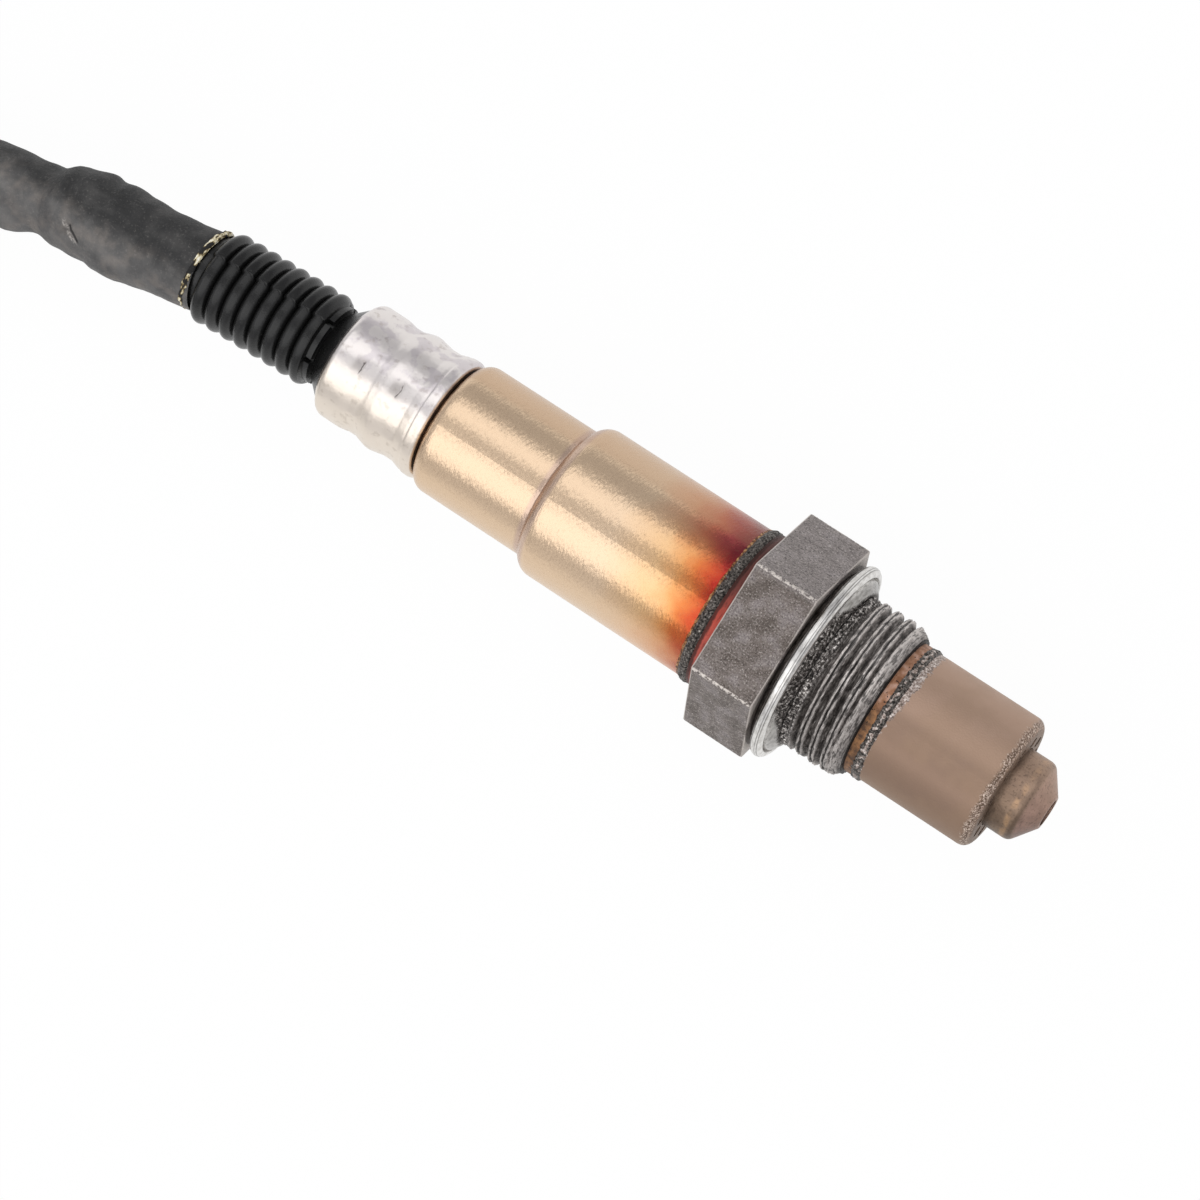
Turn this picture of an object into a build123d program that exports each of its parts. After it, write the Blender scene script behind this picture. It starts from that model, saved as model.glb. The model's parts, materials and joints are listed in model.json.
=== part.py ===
from build123d import *
import os
from math import atan2, cos, hypot, pi, radians, sin, tan

# Planar wideband oxygen sensor with its lead and plug. Millimetres, +Z up.
# The sensor lies with its axis along X and its nose towards +X, on the rim of its sealing ring.
# Stations along the axis are measured from the hexagon's front face, positive towards the nose.

os.makedirs("parts", exist_ok=True)

# ---------------------------------------------------------------- driving dimensions

# Clearances
fit = 0.05  # between parts pressed, packed or crimped together
slip = 0.15  # between parts pushed together by hand

# Steel body: thread, hexagon and the steps beside them
thread_d = 18.0
thread_pitch = 1.5
thread_length = 6.4
neck_depth = 0.9  # of the undercut, below the thread's crests
neck_length = 3.3
hex_flats = 22.0
hex_width = 7.45
hex_edge = 0.25
pilot_depth = 1.25  # below the thread's crests
pilot_length = 1.2
front_spigot_length = 2.5
collar_d = 18.3
collar_length = 1.3
rear_spigot_length = 4.25
bore_d = 12.0
front_bore_d = 9.0
bore_seat = 7.5  # station of the shoulder under the lower insulator

# Captive folded sealing ring
ring_slack = 0.4  # between the ring and the neck that it turns on
ring_width = 3.05  # of the folded strip, from its bore to its rim
ring_front = 2.75  # station of its inner curl
ring_standoff = 0.6  # gap between its outer roll and the hexagon

# Protection tubes
tube_d = 15.3
tube_wall = 0.5
tube_length = 13.98
tube_corner = 1.15
gas_hole_d = 1.3
gas_hole_count = 12
nozzle_d = 9.24
nozzle_wall = 0.4
nozzle_reach = 4.92
nozzle_cone_length = 1.98
nozzle_corner = 1.1
nozzle_tip_d = 3.8
tip_land = 0.35  # width of the flat around the tip hole
flange_width = 0.9  # of the inner tube's flange, which the outer tube clamps
chamber_gap = 1.15  # between the inner tube's taper and the outer tube's end wall
chamber_taper = 2.2
side_hole_d = 1.2
side_hole_count = 6

# Weld beads, which stand proud of the edges that they join
front_bead_width = 0.9
rear_bead_width = 1.15
bead_rise = 0.18
bead_depth = 0.25  # below the surface of the sheet

# Sensor element and its packing
element_width = 3.9
element_thickness = 1.3
element_front = 22.0
element_length = 58.0
insulator_nose_length = 5.0
lower_insulator_length = 6.5
powder_length = 5.0
clamp_length = 1.8
clamp_width = 1.25  # from the body's bore to the clamp ring's own
clamp_slack = 0.3  # between the clamp ring and the insulator's tail
insulator_tail_length = 4.0

# Stepped protective sleeve
sleeve_d = 17.86
sleeve_step_height = 1.28
sleeve_step_slope = 0.65  # of the inclined step, along the sleeve
sleeve_end_height = 1.65  # of the rounded rear end, from the neck to the narrow part
sleeve_wall = 0.5
sleeve_wide_length = 22.45  # with the step
sleeve_narrow_length = 14.3
sleeve_neck_length = 10.6
sleeve_step_fillet = 0.2
sleeve_land = 0.05  # flat left beside a rounding

# Contact holder, its clip and the contact springs
holder_gap = 3.0  # between the upper insulator and the holder
element_margin = 0.6  # by which the holder reaches past the element's end
pocket_width = 5.0
pocket_height = 2.6
pocket_front_wall = 3.0
clip_setback = 2.5
clip_width = 2.5
clip_thickness = 0.8
clip_slot = 2.0
spring_width = 0.8
spring_strip = 0.2
spring_height = 1.45
ferrule_length = 3.5
ferrule_wall = 0.2

# Wires and grommet
wire_d = 1.7
wire_circle_d = 4.6
wire_count = 5
grommet_gap = 6.0  # between the ferrules and the grommet

# Crimped collar
crimp_length = 13.0
crimp_gap = 0.35  # between the sleeve's rounded end and the collar's lip
crimp_wall = 0.45
crimp_lip_height = 1.15  # of the lip over the sleeve's neck, as for the next two
crimp_bulge_height = 1.0
crimp_rear_height = 0.8
crimp_lip_round = 0.6
crimp_rear_round = 0.95
crimp_rear_slope = 0.6  # of the tapered rear end, along the collar
crimp_rear_taper = 0.9  # of the same end, towards the axis
crimp_grip = 0.13  # between the sleeve's neck and the deeper groove
groove_difference = 0.14
jaw_count = 8
jaw_width = 1.5
jaw_depth = 0.12

# Rubber boot
boot_neck_d = 8.2
boot_cone_length = 2.0
boot_neck_length = 0.75
fold_count = 8
fold_pitch = 1.83
fold_crest_d = 10.8
fold_depth = 0.85
boot_tail_d = 8.7
boot_tail_length = 1.21

# Lead
lead_d = 9.4
tie_wall = 0.8
tie_width = 5.0
strand_gap = 0.4
near_fold_r = 28.4
fold_distance = 82.0
inner_turn = 30.0  # degrees by which the near fold turns on past the half turn

# Plug
plug_width = 20.0
plug_height = 14.0
plug_corner = 2.0
cap_length = 9.0
cap_mouth_depth = 4.0
cap_room_width = 14.0
cap_room_height = 8.6
housing_length = 27.0
seal_length = 6.0
seal_width = 15.4
seal_height = 9.6
terminal_columns = 3
terminal_rows = 2
terminal_pitch = 4.4
cavity_size = 3.4
terminal_box_length = 14.0
terminal_opening = 2.0
lock_thickness = 1.5
lock_hole = 2.4
core_width = 14.2
core_height = 9.0
slot_width = 1.3
slot_depth = 10.0
face_seal_length = 2.0
resistor_length = 5.4
resistor_width = 1.6
resistor_height = 1.0
resistor_gap = 2.4  # between the trim resistor and the face seal's slot
latch_width = 8.0
latch_length = 20.0
latch_thickness = 1.4
latch_clearance = 1.2

# ---------------------------------------------------------------- places worked out from them

neck_d = thread_d - 2 * neck_depth
ring_bore_r = neck_d / 2 + ring_slack
ring_d = 2 * (ring_bore_r + ring_width)
pilot_d = thread_d - 2 * pilot_depth
thread_start = neck_length
thread_end = thread_start + thread_length
pilot_end = thread_end + pilot_length
spigot_end = pilot_end + front_spigot_length
tube_end = pilot_end + tube_length
nozzle_end = tube_end + nozzle_reach
hex_rear = -hex_width
collar_end = hex_rear - collar_length
body_end = collar_end - rear_spigot_length
sleeve_step = collar_end - sleeve_wide_length
sleeve_end = sleeve_step - sleeve_narrow_length
sleeve_neck_end = sleeve_end - sleeve_neck_length
crimp_start = sleeve_end - crimp_gap
crimp_end = crimp_start - crimp_length
boot_foot = sleeve_neck_end - fit
neck_start = crimp_end - boot_cone_length
folds_start = neck_start - boot_neck_length
folds_end = folds_start - fold_count * fold_pitch
boot_end = folds_end - boot_tail_length

# The origin is below the middle of the sensor's length, on the surface that it lies on.
seat_x = -(nozzle_end + boot_end) / 2
axis_height = max(ring_d, hex_flats) / 2

axis_plane = Plane(origin=(seat_x, 0, axis_height), x_dir=(1, 0, 0), z_dir=(0, -1, 0))
sensor_axis = Axis((seat_x, 0, axis_height), (1, 0, 0))


def across(station, turn=0):
    """Plane square to the sensor axis, facing the nose, its x axis along +Y before any turn."""
    side = (0, cos(radians(turn)), sin(radians(turn)))
    return Plane(origin=(seat_x + station, 0, axis_height), x_dir=side, z_dir=(1, 0, 0))


def beside(station, radius, turn):
    """Plane square to a radius, at that distance from the axis, its x axis along the sensor."""
    out = (0, cos(radians(turn)), sin(radians(turn)))
    origin = (seat_x + station, radius * out[1], axis_height + radius * out[2])
    return Plane(origin=origin, x_dir=(1, 0, 0), z_dir=out)


def half_section(*corners):
    """Closed outline beside the axis, from corners given as (station, radius[, rounding])."""
    with BuildSketch(axis_plane) as section:
        with BuildLine():
            roundings = [corner[2] if len(corner) > 2 else 0 for corner in corners]
            FilletPolyline(*[corner[:2] for corner in corners], radius=roundings, close=True)
        make_face()
    return section.sketch


def sheet_section(wall, *corners):
    """Outline of a sheet-metal wall, from its outer corners listed from the nose to the rear."""
    with BuildSketch(axis_plane) as section:
        with BuildLine():
            roundings = [corner[2] if len(corner) > 2 else 0 for corner in corners[1:-1]]
            FilletPolyline(*[corner[:2] for corner in corners], radius=roundings)
            offset(amount=wall, side=Side.LEFT)
        make_face()
    return section.sketch


def ring_section(front, rear, outer_d, inner_d):
    """Outline of a plain ring or bush."""
    return half_section(
        (front, inner_d / 2), (front, outer_d / 2), (rear, outer_d / 2), (rear, inner_d / 2)
    )


def bead_section(front, rear, surface_d):
    """Outline of a weld bead between two stations of a round surface."""
    foot = surface_d / 2 - bead_depth
    top = surface_d / 2 + bead_rise
    middle = (front + rear) / 2
    with BuildSketch(axis_plane) as section:
        with BuildLine():
            ThreePointArc((front, surface_d / 2), (middle, top), (rear, surface_d / 2))
            Polyline((rear, surface_d / 2), (rear, foot), (front, foot), (front, surface_d / 2))
        make_face()
    return section.sketch


def slot_for_element(station):
    """Sketch of the hole that the element passes through."""
    with BuildSketch(across(station)) as hole:
        Rectangle(element_width + 2 * fit, element_thickness + 2 * fit)
    return hole.sketch


# ---------------------------------------------------------------- steel body and sealing ring

front_spigot_d = tube_d - 2 * tube_wall - 2 * fit
rear_spigot_d = sleeve_d - 2 * sleeve_wall - 2 * fit
thread_chamfer = thread_pitch * 0.4

with BuildPart() as hex_body:
    with BuildSketch(across(hex_rear)):
        RegularPolygon(radius=hex_flats / 2, side_count=6, major_radius=False)
    extrude(amount=hex_width)
    end_faces = faces().sort_by(Axis.X)
    chamfer(end_faces[0].edges() + end_faces[-1].edges(), hex_edge)
    turned_steps = half_section(
        (spigot_end, 0),
        (spigot_end, front_spigot_d / 2),
        (pilot_end, front_spigot_d / 2),
        (pilot_end, pilot_d / 2),
        (thread_end, pilot_d / 2),
        (thread_end, thread_d / 2 - thread_chamfer),
        (thread_end - thread_chamfer, thread_d / 2),
        (thread_start + thread_chamfer, thread_d / 2),
        (thread_start, neck_d / 2),
        (-hex_edge, neck_d / 2),
        (hex_rear + hex_edge, collar_d / 2),
        (collar_end, collar_d / 2),
        (collar_end, rear_spigot_d / 2),
        (body_end, rear_spigot_d / 2),
        (body_end, 0),
    )
    revolve(turned_steps, axis=sensor_axis)
    bore = half_section(
        (spigot_end, 0),
        (spigot_end, front_bore_d / 2),
        (bore_seat, front_bore_d / 2),
        (bore_seat, bore_d / 2),
        (body_end, bore_d / 2),
        (body_end, 0),
    )
    revolve(bore, axis=sensor_axis, mode=Mode.SUBTRACT)
hex_body.part.label = "hex_body"
export_step(hex_body.part, "parts/hex_body.step")

# The folded strip's section is drawn in units of its outer roll's width.
roll = ring_width / 4
roll_front = ring_standoff + 1.8 * roll
edge_round = roll / 4


def ring_point(station, rolls, rounding=edge_round):
    """Corner of the folded strip, so many roll widths out from the bore."""
    return station, ring_bore_r + rolls * roll, rounding


with BuildPart() as sealing_ring:
    folded_strip = half_section(
        ring_point(fit, 1),
        ring_point(fit, 2),
        ring_point(ring_standoff, 2.5),
        ring_point(ring_standoff, 4, 0.9 * roll),
        ring_point(roll_front, 4, 0.9 * roll),
        ring_point(roll_front, 2.9, roll / 8),
        ring_point(roll_front - roll / 2, 2.65, 0),
        ring_point(roll_front + roll / 8, 2.4, roll / 8),
        ring_point(ring_front, 1.2, 0.65 * roll),
        ring_point(ring_front, 0),
        ring_point(ring_front - 1.8 * roll, 0),
        ring_point(ring_front - 2.1 * roll, 1),
    )
    revolve(folded_strip, axis=sensor_axis)
sealing_ring.part.label = "sealing_ring"
export_step(sealing_ring.part, "parts/sealing_ring.step")

# ---------------------------------------------------------------- protection tubes

gas_hole_circle = (tube_d / 2 - tube_corner + nozzle_d / 2) / 2

with BuildPart() as outer_protection_tube:
    cup = sheet_section(
        tube_wall,
        (tube_end, nozzle_d / 2 + fit),
        (tube_end, tube_d / 2, tube_corner),
        (pilot_end, tube_d / 2),
    )
    revolve(cup, axis=sensor_axis)
    revolve(bead_section(pilot_end + front_bead_width, pilot_end, tube_d), axis=sensor_axis)
    with BuildSketch(across(tube_end - 2 * tube_wall)):
        with PolarLocations(gas_hole_circle, gas_hole_count, start_angle=180 / gas_hole_count):
            Circle(gas_hole_d / 2)
    extrude(amount=4 * tube_wall, mode=Mode.SUBTRACT)
outer_protection_tube.part.label = "outer_protection_tube"
export_step(outer_protection_tube.part, "parts/outer_protection_tube.step")

tip_hole_d = nozzle_tip_d - 2 * tip_land
chamber_d = front_spigot_d - 2 * flange_width
flange_front = spigot_end + nozzle_wall + fit
nozzle_start = tube_end - tube_wall - chamber_gap
chamber_end = nozzle_start - chamber_taper
cone_start = nozzle_end - nozzle_cone_length
side_hole_station = (flange_front + chamber_end) / 2

with BuildPart() as inner_protection_tube:
    nozzle = sheet_section(
        nozzle_wall,
        (nozzle_end, tip_hole_d / 2),
        (nozzle_end, nozzle_tip_d / 2),
        (cone_start, nozzle_d / 2, nozzle_corner),
        (nozzle_start, nozzle_d / 2, tube_corner / 2),
        (chamber_end, chamber_d / 2, tube_corner / 2),
        (flange_front, chamber_d / 2, nozzle_wall / 2),
        (flange_front, front_spigot_d / 2),
    )
    revolve(nozzle, axis=sensor_axis)
    for place in range(side_hole_count):
        with BuildSketch(beside(side_hole_station, chamber_d / 4, place * 360 / side_hole_count)):
            Circle(side_hole_d / 2)
        extrude(amount=chamber_d / 2, mode=Mode.SUBTRACT)
inner_protection_tube.part.label = "inner_protection_tube"
export_step(inner_protection_tube.part, "parts/inner_protection_tube.step")

# ---------------------------------------------------------------- element and packing

element_rear = element_front - element_length

with BuildPart() as sensor_element:
    with BuildSketch(across(element_rear)):
        Rectangle(element_width, element_thickness)
    extrude(amount=element_front - element_rear)
    chamfer(faces().sort_by(Axis.X)[-1].edges(), element_thickness / 4)
sensor_element.part.label = "sensor_element"
export_step(sensor_element.part, "parts/sensor_element.step")

packed_d = bore_d - 2 * fit
insulator_front = bore_seat + insulator_nose_length
powder_front = bore_seat - fit - lower_insulator_length
powder_rear = powder_front - powder_length
clamp_front = body_end + clamp_length
insulator_rear = body_end - insulator_tail_length
clamp_bore_d = packed_d - 2 * clamp_width
insulator_tail_d = clamp_bore_d - 2 * clamp_slack

with BuildPart() as lower_insulator:
    support = half_section(
        (insulator_front, 0),
        (insulator_front, front_bore_d / 2 - fit),
        (bore_seat - fit, front_bore_d / 2 - fit),
        (bore_seat - fit, packed_d / 2),
        (powder_front, packed_d / 2),
        (powder_front, 0),
    )
    revolve(support, axis=sensor_axis)
    extrude(slot_for_element(powder_front), insulator_front - powder_front, mode=Mode.SUBTRACT)
lower_insulator.part.label = "lower_insulator"
export_step(lower_insulator.part, "parts/lower_insulator.step")

with BuildPart() as powder_seal:
    with BuildSketch(across(powder_rear)):
        Circle(packed_d / 2)
        Rectangle(element_width + 2 * fit, element_thickness + 2 * fit, mode=Mode.SUBTRACT)
    extrude(amount=powder_length)
powder_seal.part.label = "powder_seal"
export_step(powder_seal.part, "parts/powder_seal.step")

with BuildPart() as upper_insulator:
    bush = half_section(
        (powder_rear, 0),
        (powder_rear, packed_d / 2),
        (clamp_front, packed_d / 2),
        (clamp_front, insulator_tail_d / 2),
        (insulator_rear, insulator_tail_d / 2),
        (insulator_rear, 0),
    )
    revolve(bush, axis=sensor_axis)
    extrude(slot_for_element(insulator_rear), powder_rear - insulator_rear, mode=Mode.SUBTRACT)
upper_insulator.part.label = "upper_insulator"
export_step(upper_insulator.part, "parts/upper_insulator.step")

with BuildPart() as clamp_ring:
    revolve(ring_section(clamp_front, body_end, packed_d, clamp_bore_d), axis=sensor_axis)
clamp_ring.part.label = "clamp_ring"
export_step(clamp_ring.part, "parts/clamp_ring.step")

# ---------------------------------------------------------------- protective sleeve

sleeve_narrow_d = sleeve_d - 2 * sleeve_step_height
sleeve_neck_d = sleeve_narrow_d - 2 * sleeve_end_height
step_face = hypot(sleeve_step_height, sleeve_step_slope)
step_turn = atan2(sleeve_step_height, sleeve_step_slope)
shoulder_round = (step_face - sleeve_land) / tan(step_turn / 2) - sleeve_step_fillet
rear_round = sleeve_end_height - sleeve_land

with BuildPart() as protective_sleeve:
    stepped = sheet_section(
        sleeve_wall,
        (collar_end, sleeve_d / 2),
        (sleeve_step + sleeve_step_slope, sleeve_d / 2, shoulder_round),
        (sleeve_step, sleeve_narrow_d / 2, sleeve_step_fillet),
        (sleeve_end, sleeve_narrow_d / 2, rear_round),
        (sleeve_end, sleeve_neck_d / 2),
        (sleeve_neck_end, sleeve_neck_d / 2),
    )
    revolve(stepped, axis=sensor_axis)
    revolve(bead_section(collar_end, collar_end - rear_bead_width, sleeve_d), axis=sensor_axis)
protective_sleeve.part.label = "protective_sleeve"
export_step(protective_sleeve.part, "parts/protective_sleeve.step")

# ---------------------------------------------------------------- contact holder, clip, springs and wires

holder_d = sleeve_narrow_d - 2 * sleeve_wall - 2 * slip
holder_front = insulator_rear - holder_gap
holder_rear = element_rear - element_margin
pocket_front = holder_front - pocket_front_wall

for side, keep in (("upper", Keep.TOP), ("lower", Keep.BOTTOM)):
    with BuildPart() as contact_holder:
        with BuildSketch(across(holder_rear)):
            Circle(holder_d / 2)
        extrude(amount=holder_front - holder_rear)
        with BuildSketch(across(holder_rear)):
            Rectangle(pocket_width, 2 * pocket_height)
        extrude(amount=pocket_front - holder_rear, mode=Mode.SUBTRACT)
        extrude(slot_for_element(pocket_front), pocket_front_wall, mode=Mode.SUBTRACT)
        split(bisect_by=Plane.XY.offset(axis_height), keep=keep)
    contact_holder.part.label = f"contact_holder_{side}"
    export_step(contact_holder.part, f"parts/contact_holder_{side}.step")

clip_bore_d = holder_d + 2 * fit
clip_start = holder_front - clip_setback

with BuildPart() as holder_clip:
    clip_outer_d = clip_bore_d + 2 * clip_thickness
    revolve(
        ring_section(clip_start, clip_start - clip_width, clip_outer_d, clip_bore_d),
        axis=sensor_axis,
    )
    with BuildSketch(beside(clip_start - clip_width / 2, 0, 90)):
        Rectangle(2 * clip_width, clip_slot)
    extrude(amount=clip_outer_d, mode=Mode.SUBTRACT)
holder_clip.part.label = "holder_clip"
export_step(holder_clip.part, "parts/holder_clip.step")

# Where each spring touches the element: sideways place, face (1 top, -1 bottom), wire angle.
contacts = [
    (-element_width / 3, 1, 162),
    (0, 1, 90),
    (element_width / 3, 1, 18),
    (-element_width / 4, -1, 234),
    (element_width / 4, -1, 306),
]
plate_station = holder_rear - spring_strip
spring_touch = pocket_front + (plate_station - pocket_front) / 3
spring_reach = (pocket_front - spring_touch) / 2
ferrule_bore_d = wire_d + 2 * fit
touch_height = element_thickness / 2 + spring_strip / 2 + fit


def wire_place(angle):
    """Sideways and upward place of a wire on the circle that the wires share."""
    return wire_circle_d / 2 * cos(radians(angle)), wire_circle_d / 2 * sin(radians(angle))


for number, (pad_y, face, angle) in enumerate(contacts, start=1):
    wire_y, wire_z = wire_place(angle)
    with BuildPart() as contact_spring:
        strip_plane = Plane(
            origin=(seat_x, pad_y - spring_width / 2, axis_height), x_dir=(1, 0, 0), z_dir=(0, -1, 0)
        )
        with BuildSketch(strip_plane):
            with BuildLine():
                FilletPolyline(
                    (plate_station, face * spring_height),
                    (spring_touch - spring_reach, face * spring_height),
                    (spring_touch, face * touch_height),
                    (spring_touch + spring_reach, face * spring_height),
                    radius=spring_strip * 4,
                )
            trace(line_width=spring_strip)
        extrude(amount=-spring_width)
        with BuildSketch(across(plate_station - spring_strip)):
            with BuildLine():
                Line((pad_y, face * spring_height), (wire_y, wire_z))
            trace(line_width=spring_width * 0.8)
            with Locations((wire_y, wire_z)):
                Circle(ferrule_bore_d / 2 + ferrule_wall)
        extrude(amount=spring_strip * 1.5)
        with BuildSketch(across(plate_station - spring_strip)):
            with Locations((wire_y, wire_z)):
                Circle(ferrule_bore_d / 2 + ferrule_wall)
                Circle(ferrule_bore_d / 2, mode=Mode.SUBTRACT)
        extrude(amount=-ferrule_length)
    contact_spring.part.label = f"contact_spring_{number}"
    export_step(contact_spring.part, f"parts/contact_spring_{number}.step")

wire_start = plate_station - spring_strip - fit
wire_angles = [angle for pad_y, face, angle in contacts[:wire_count]]

for number, angle in enumerate(wire_angles, start=1):
    with BuildPart() as sensor_wire:
        with BuildSketch(across(boot_end)):
            with Locations(wire_place(angle)):
                Circle(wire_d / 2)
        extrude(amount=wire_start - boot_end)
    sensor_wire.part.label = f"sensor_wire_{number}"
    export_step(sensor_wire.part, f"parts/sensor_wire_{number}.step")

grommet_front = plate_station - spring_strip - ferrule_length - grommet_gap

with BuildPart() as wire_grommet:
    with BuildSketch(across(sleeve_neck_end)):
        Circle(sleeve_neck_d / 2 - sleeve_wall - fit)
        with Locations(*[wire_place(angle) for angle in wire_angles]):
            Circle(wire_d / 2 + fit, mode=Mode.SUBTRACT)
    extrude(amount=grommet_front - sleeve_neck_end)
wire_grommet.part.label = "wire_grommet"
export_step(wire_grommet.part, "parts/wire_grommet.step")

# ---------------------------------------------------------------- crimped collar

crimp_lip_r, crimp_bulge_r, crimp_rear_r = (
    sleeve_neck_d / 2 + height for height in (crimp_lip_height, crimp_bulge_height, crimp_rear_height)
)
crimp_mouth_r = crimp_rear_r - crimp_rear_taper
groove_deep_r = sleeve_neck_d / 2 + crimp_grip + crimp_wall
groove_shallow_r = groove_deep_r + groove_difference
shallow_groove = crimp_start - 0.28 * crimp_length
bulge = crimp_start - 0.475 * crimp_length
deep_groove = crimp_start - 0.63 * crimp_length
groove_half = jaw_width / 2

collar_corners = (
    (crimp_start, sleeve_neck_d / 2 + crimp_grip),
    (crimp_start, crimp_lip_r, crimp_lip_round),
    (crimp_start - 0.08 * crimp_length, crimp_lip_r, 1.5),
    (shallow_groove + groove_half, groove_shallow_r, 1.0),
    (shallow_groove - groove_half, groove_shallow_r, 1.0),
    (bulge + groove_half, crimp_bulge_r, 1.0),
    (bulge - groove_half, crimp_bulge_r, 1.0),
    (deep_groove + groove_half, groove_deep_r, 1.0),
    (deep_groove - groove_half, groove_deep_r, 1.0),
    (deep_groove - 2.5 * groove_half, crimp_rear_r, 1.0),
    (crimp_end + crimp_rear_slope, crimp_rear_r, crimp_rear_round),
    (crimp_end, crimp_mouth_r),
)

with BuildPart() as crimp_collar:
    revolve(sheet_section(crimp_wall, *collar_corners), axis=sensor_axis)
    for groove, groove_r in ((shallow_groove, groove_shallow_r), (deep_groove, groove_deep_r)):
        for jaw in range(jaw_count):
            with BuildSketch(beside(groove, groove_r - jaw_depth, (jaw + 0.5) * 360 / jaw_count)):
                Rectangle(jaw_width, groove_r)
            extrude(amount=crimp_wall, mode=Mode.SUBTRACT)
crimp_collar.part.label = "crimp_collar"
export_step(crimp_collar.part, "parts/crimp_collar.step")

# ---------------------------------------------------------------- rubber boot

foot_r = crimp_rear_r - crimp_wall / 2
boot_bore_r = (wire_circle_d + wire_d) / 2 + slip
valley_r = fold_crest_d / 2 - fold_depth

with BuildPart() as bellows_boot:
    with BuildSketch(axis_plane):
        with BuildLine():
            Polyline(
                (boot_end, boot_tail_d / 2),
                (boot_end, boot_bore_r),
                (boot_foot, boot_bore_r),
                (boot_foot, foot_r),
                (crimp_end + crimp_rear_slope, foot_r),
                (crimp_end, crimp_mouth_r),
                (neck_start, boot_neck_d / 2),
                (folds_start, boot_neck_d / 2),
                (folds_start, valley_r),
            )
            for fold in range(fold_count):
                front = folds_start - fold * fold_pitch
                ThreePointArc(
                    (front, valley_r),
                    (front - fold_pitch / 2, fold_crest_d / 2),
                    (front - fold_pitch, valley_r),
                )
            Polyline((folds_end, valley_r), (folds_end, boot_tail_d / 2), (boot_end, boot_tail_d / 2))
        make_face()
    revolve(axis=sensor_axis)
    beside_collar = sheet_section(crimp_wall + fit, *collar_corners)
    revolve(beside_collar, axis=sensor_axis, mode=Mode.SUBTRACT)
bellows_boot.part.label = "bellows_boot"
export_step(bellows_boot.part, "parts/bellows_boot.step")

# ---------------------------------------------------------------- lead

lane_height = lead_d / 2 + slip + tie_wall
exit_x = seat_x + boot_end

# Route of the lead from the boot to the surface: along, sideways, share of the drop still left.
# It starts just inside the boot, where the lead is then cut square.
route = [
    (1.5, -0.3, 1.00),
    (-11.1, -2.0, 0.96),
    (-22.6, -4.6, 0.80),
    (-33.6, -7.0, 0.50),
    (-43.6, -8.5, 0.16),
    (-51.6, -9.0, 0.00),
    (-63.6, -9.0, 0.00),
]
lead_points = [
    Vector(exit_x + along, side, lane_height + share * (axis_height - lane_height))
    for along, side, share in route
]


def bend_radii(points):
    """Radius of each bend of a route: 0.45 of the shorter run over the tangent of half the turn."""
    radii = []
    for before, corner, after in zip(points, points[1:], points[2:]):
        run_in, run_out = corner - before, after - corner
        turn = run_in.get_angle(run_out)
        radii.append(0.45 * min(run_in.length, run_out.length) / tan(radians(turn / 2)))
    return radii


def measured(name, piece, path):
    """Length of a piece of the lead, printed with its volume over its section times that length."""
    length = sum(edge.length for edge in path.edges())
    share = piece.part.volume / (pi * lead_d**2 / 4 * length)
    print(f"{name}: {length:.1f} mm long, volume {share:.4f} of section times length")
    return length


with BuildPart() as lead_sleeve:
    with BuildLine() as lead_path:
        FilletPolyline(*lead_points, radius=bend_radii(lead_points))
    with BuildSketch(Plane(origin=lead_path.line @ 0, z_dir=lead_path.line % 0)):
        Circle(lead_d / 2)
    sweep()
    split(bisect_by=across(boot_end), keep=Keep.BOTTOM)
lead_sleeve.part.label = "lead_sleeve"
export_step(lead_sleeve.part, "parts/lead_sleeve.step")
print("lead bends, mm:", [round(radius, 1) for radius in bend_radii(lead_points)])
lead_length = measured("lead_sleeve", lead_sleeve, lead_path)

# The hank is one and a bit long laps, wound inwards, its outer and inner strands side by side.
strand_pitch = lead_d + strand_gap
far_fold_r = near_fold_r + strand_pitch / 2
hank_start = lead_points[-1]
near_x = lead_points[-2].X - strand_pitch / 2
far_x = near_x - fold_distance
outer_y = hank_start.Y
return_y = outer_y - 2 * far_fold_r
inner_y = return_y + 2 * near_fold_r
near_y = (return_y + inner_y) / 2
sweep_angle = 180 + inner_turn


def lane_point(x, y):
    """Point of the hank's middle line."""
    return Vector(x, y, lane_height)


with BuildPart() as lead_hank:
    with BuildLine() as hank_path:
        Line(hank_start, lane_point(far_x, outer_y))
        ThreePointArc(
            lane_point(far_x, outer_y),
            lane_point(far_x - far_fold_r, outer_y - far_fold_r),
            lane_point(far_x, return_y),
        )
        Line(lane_point(far_x, return_y), lane_point(near_x, return_y))
        near_fold = CenterArc(lane_point(near_x, near_y), near_fold_r, -90, sweep_angle)
    with BuildSketch(Plane(origin=hank_start, z_dir=(-1, 0, 0))):
        Circle(lead_d / 2)
    sweep()
lead_hank.part.label = "lead_hank"
export_step(lead_hank.part, "parts/lead_hank.step")
lead_length += measured("lead_hank", lead_hank, hank_path)

# The lead's end eases out of the near fold into the plug, which lies flat inside the hank.
tail_run = 10.0
tail_steps = 3
plug_axis_height = plug_height / 2
tail_start = near_fold @ 1
tail_points = [tail_start]
for step in range(tail_steps + 1):
    heading = radians(180 + inner_turn * (1 - step / tail_steps))
    run = Vector(cos(heading), sin(heading), 0) * tail_run
    tail_points.append(tail_points[-1] + run)
rise = plug_axis_height - lane_height
for step, share in enumerate((0, 0, 0.4, 1, 1)):
    tail_points[step] = tail_points[step] + Vector(0, 0, rise * share)

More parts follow.
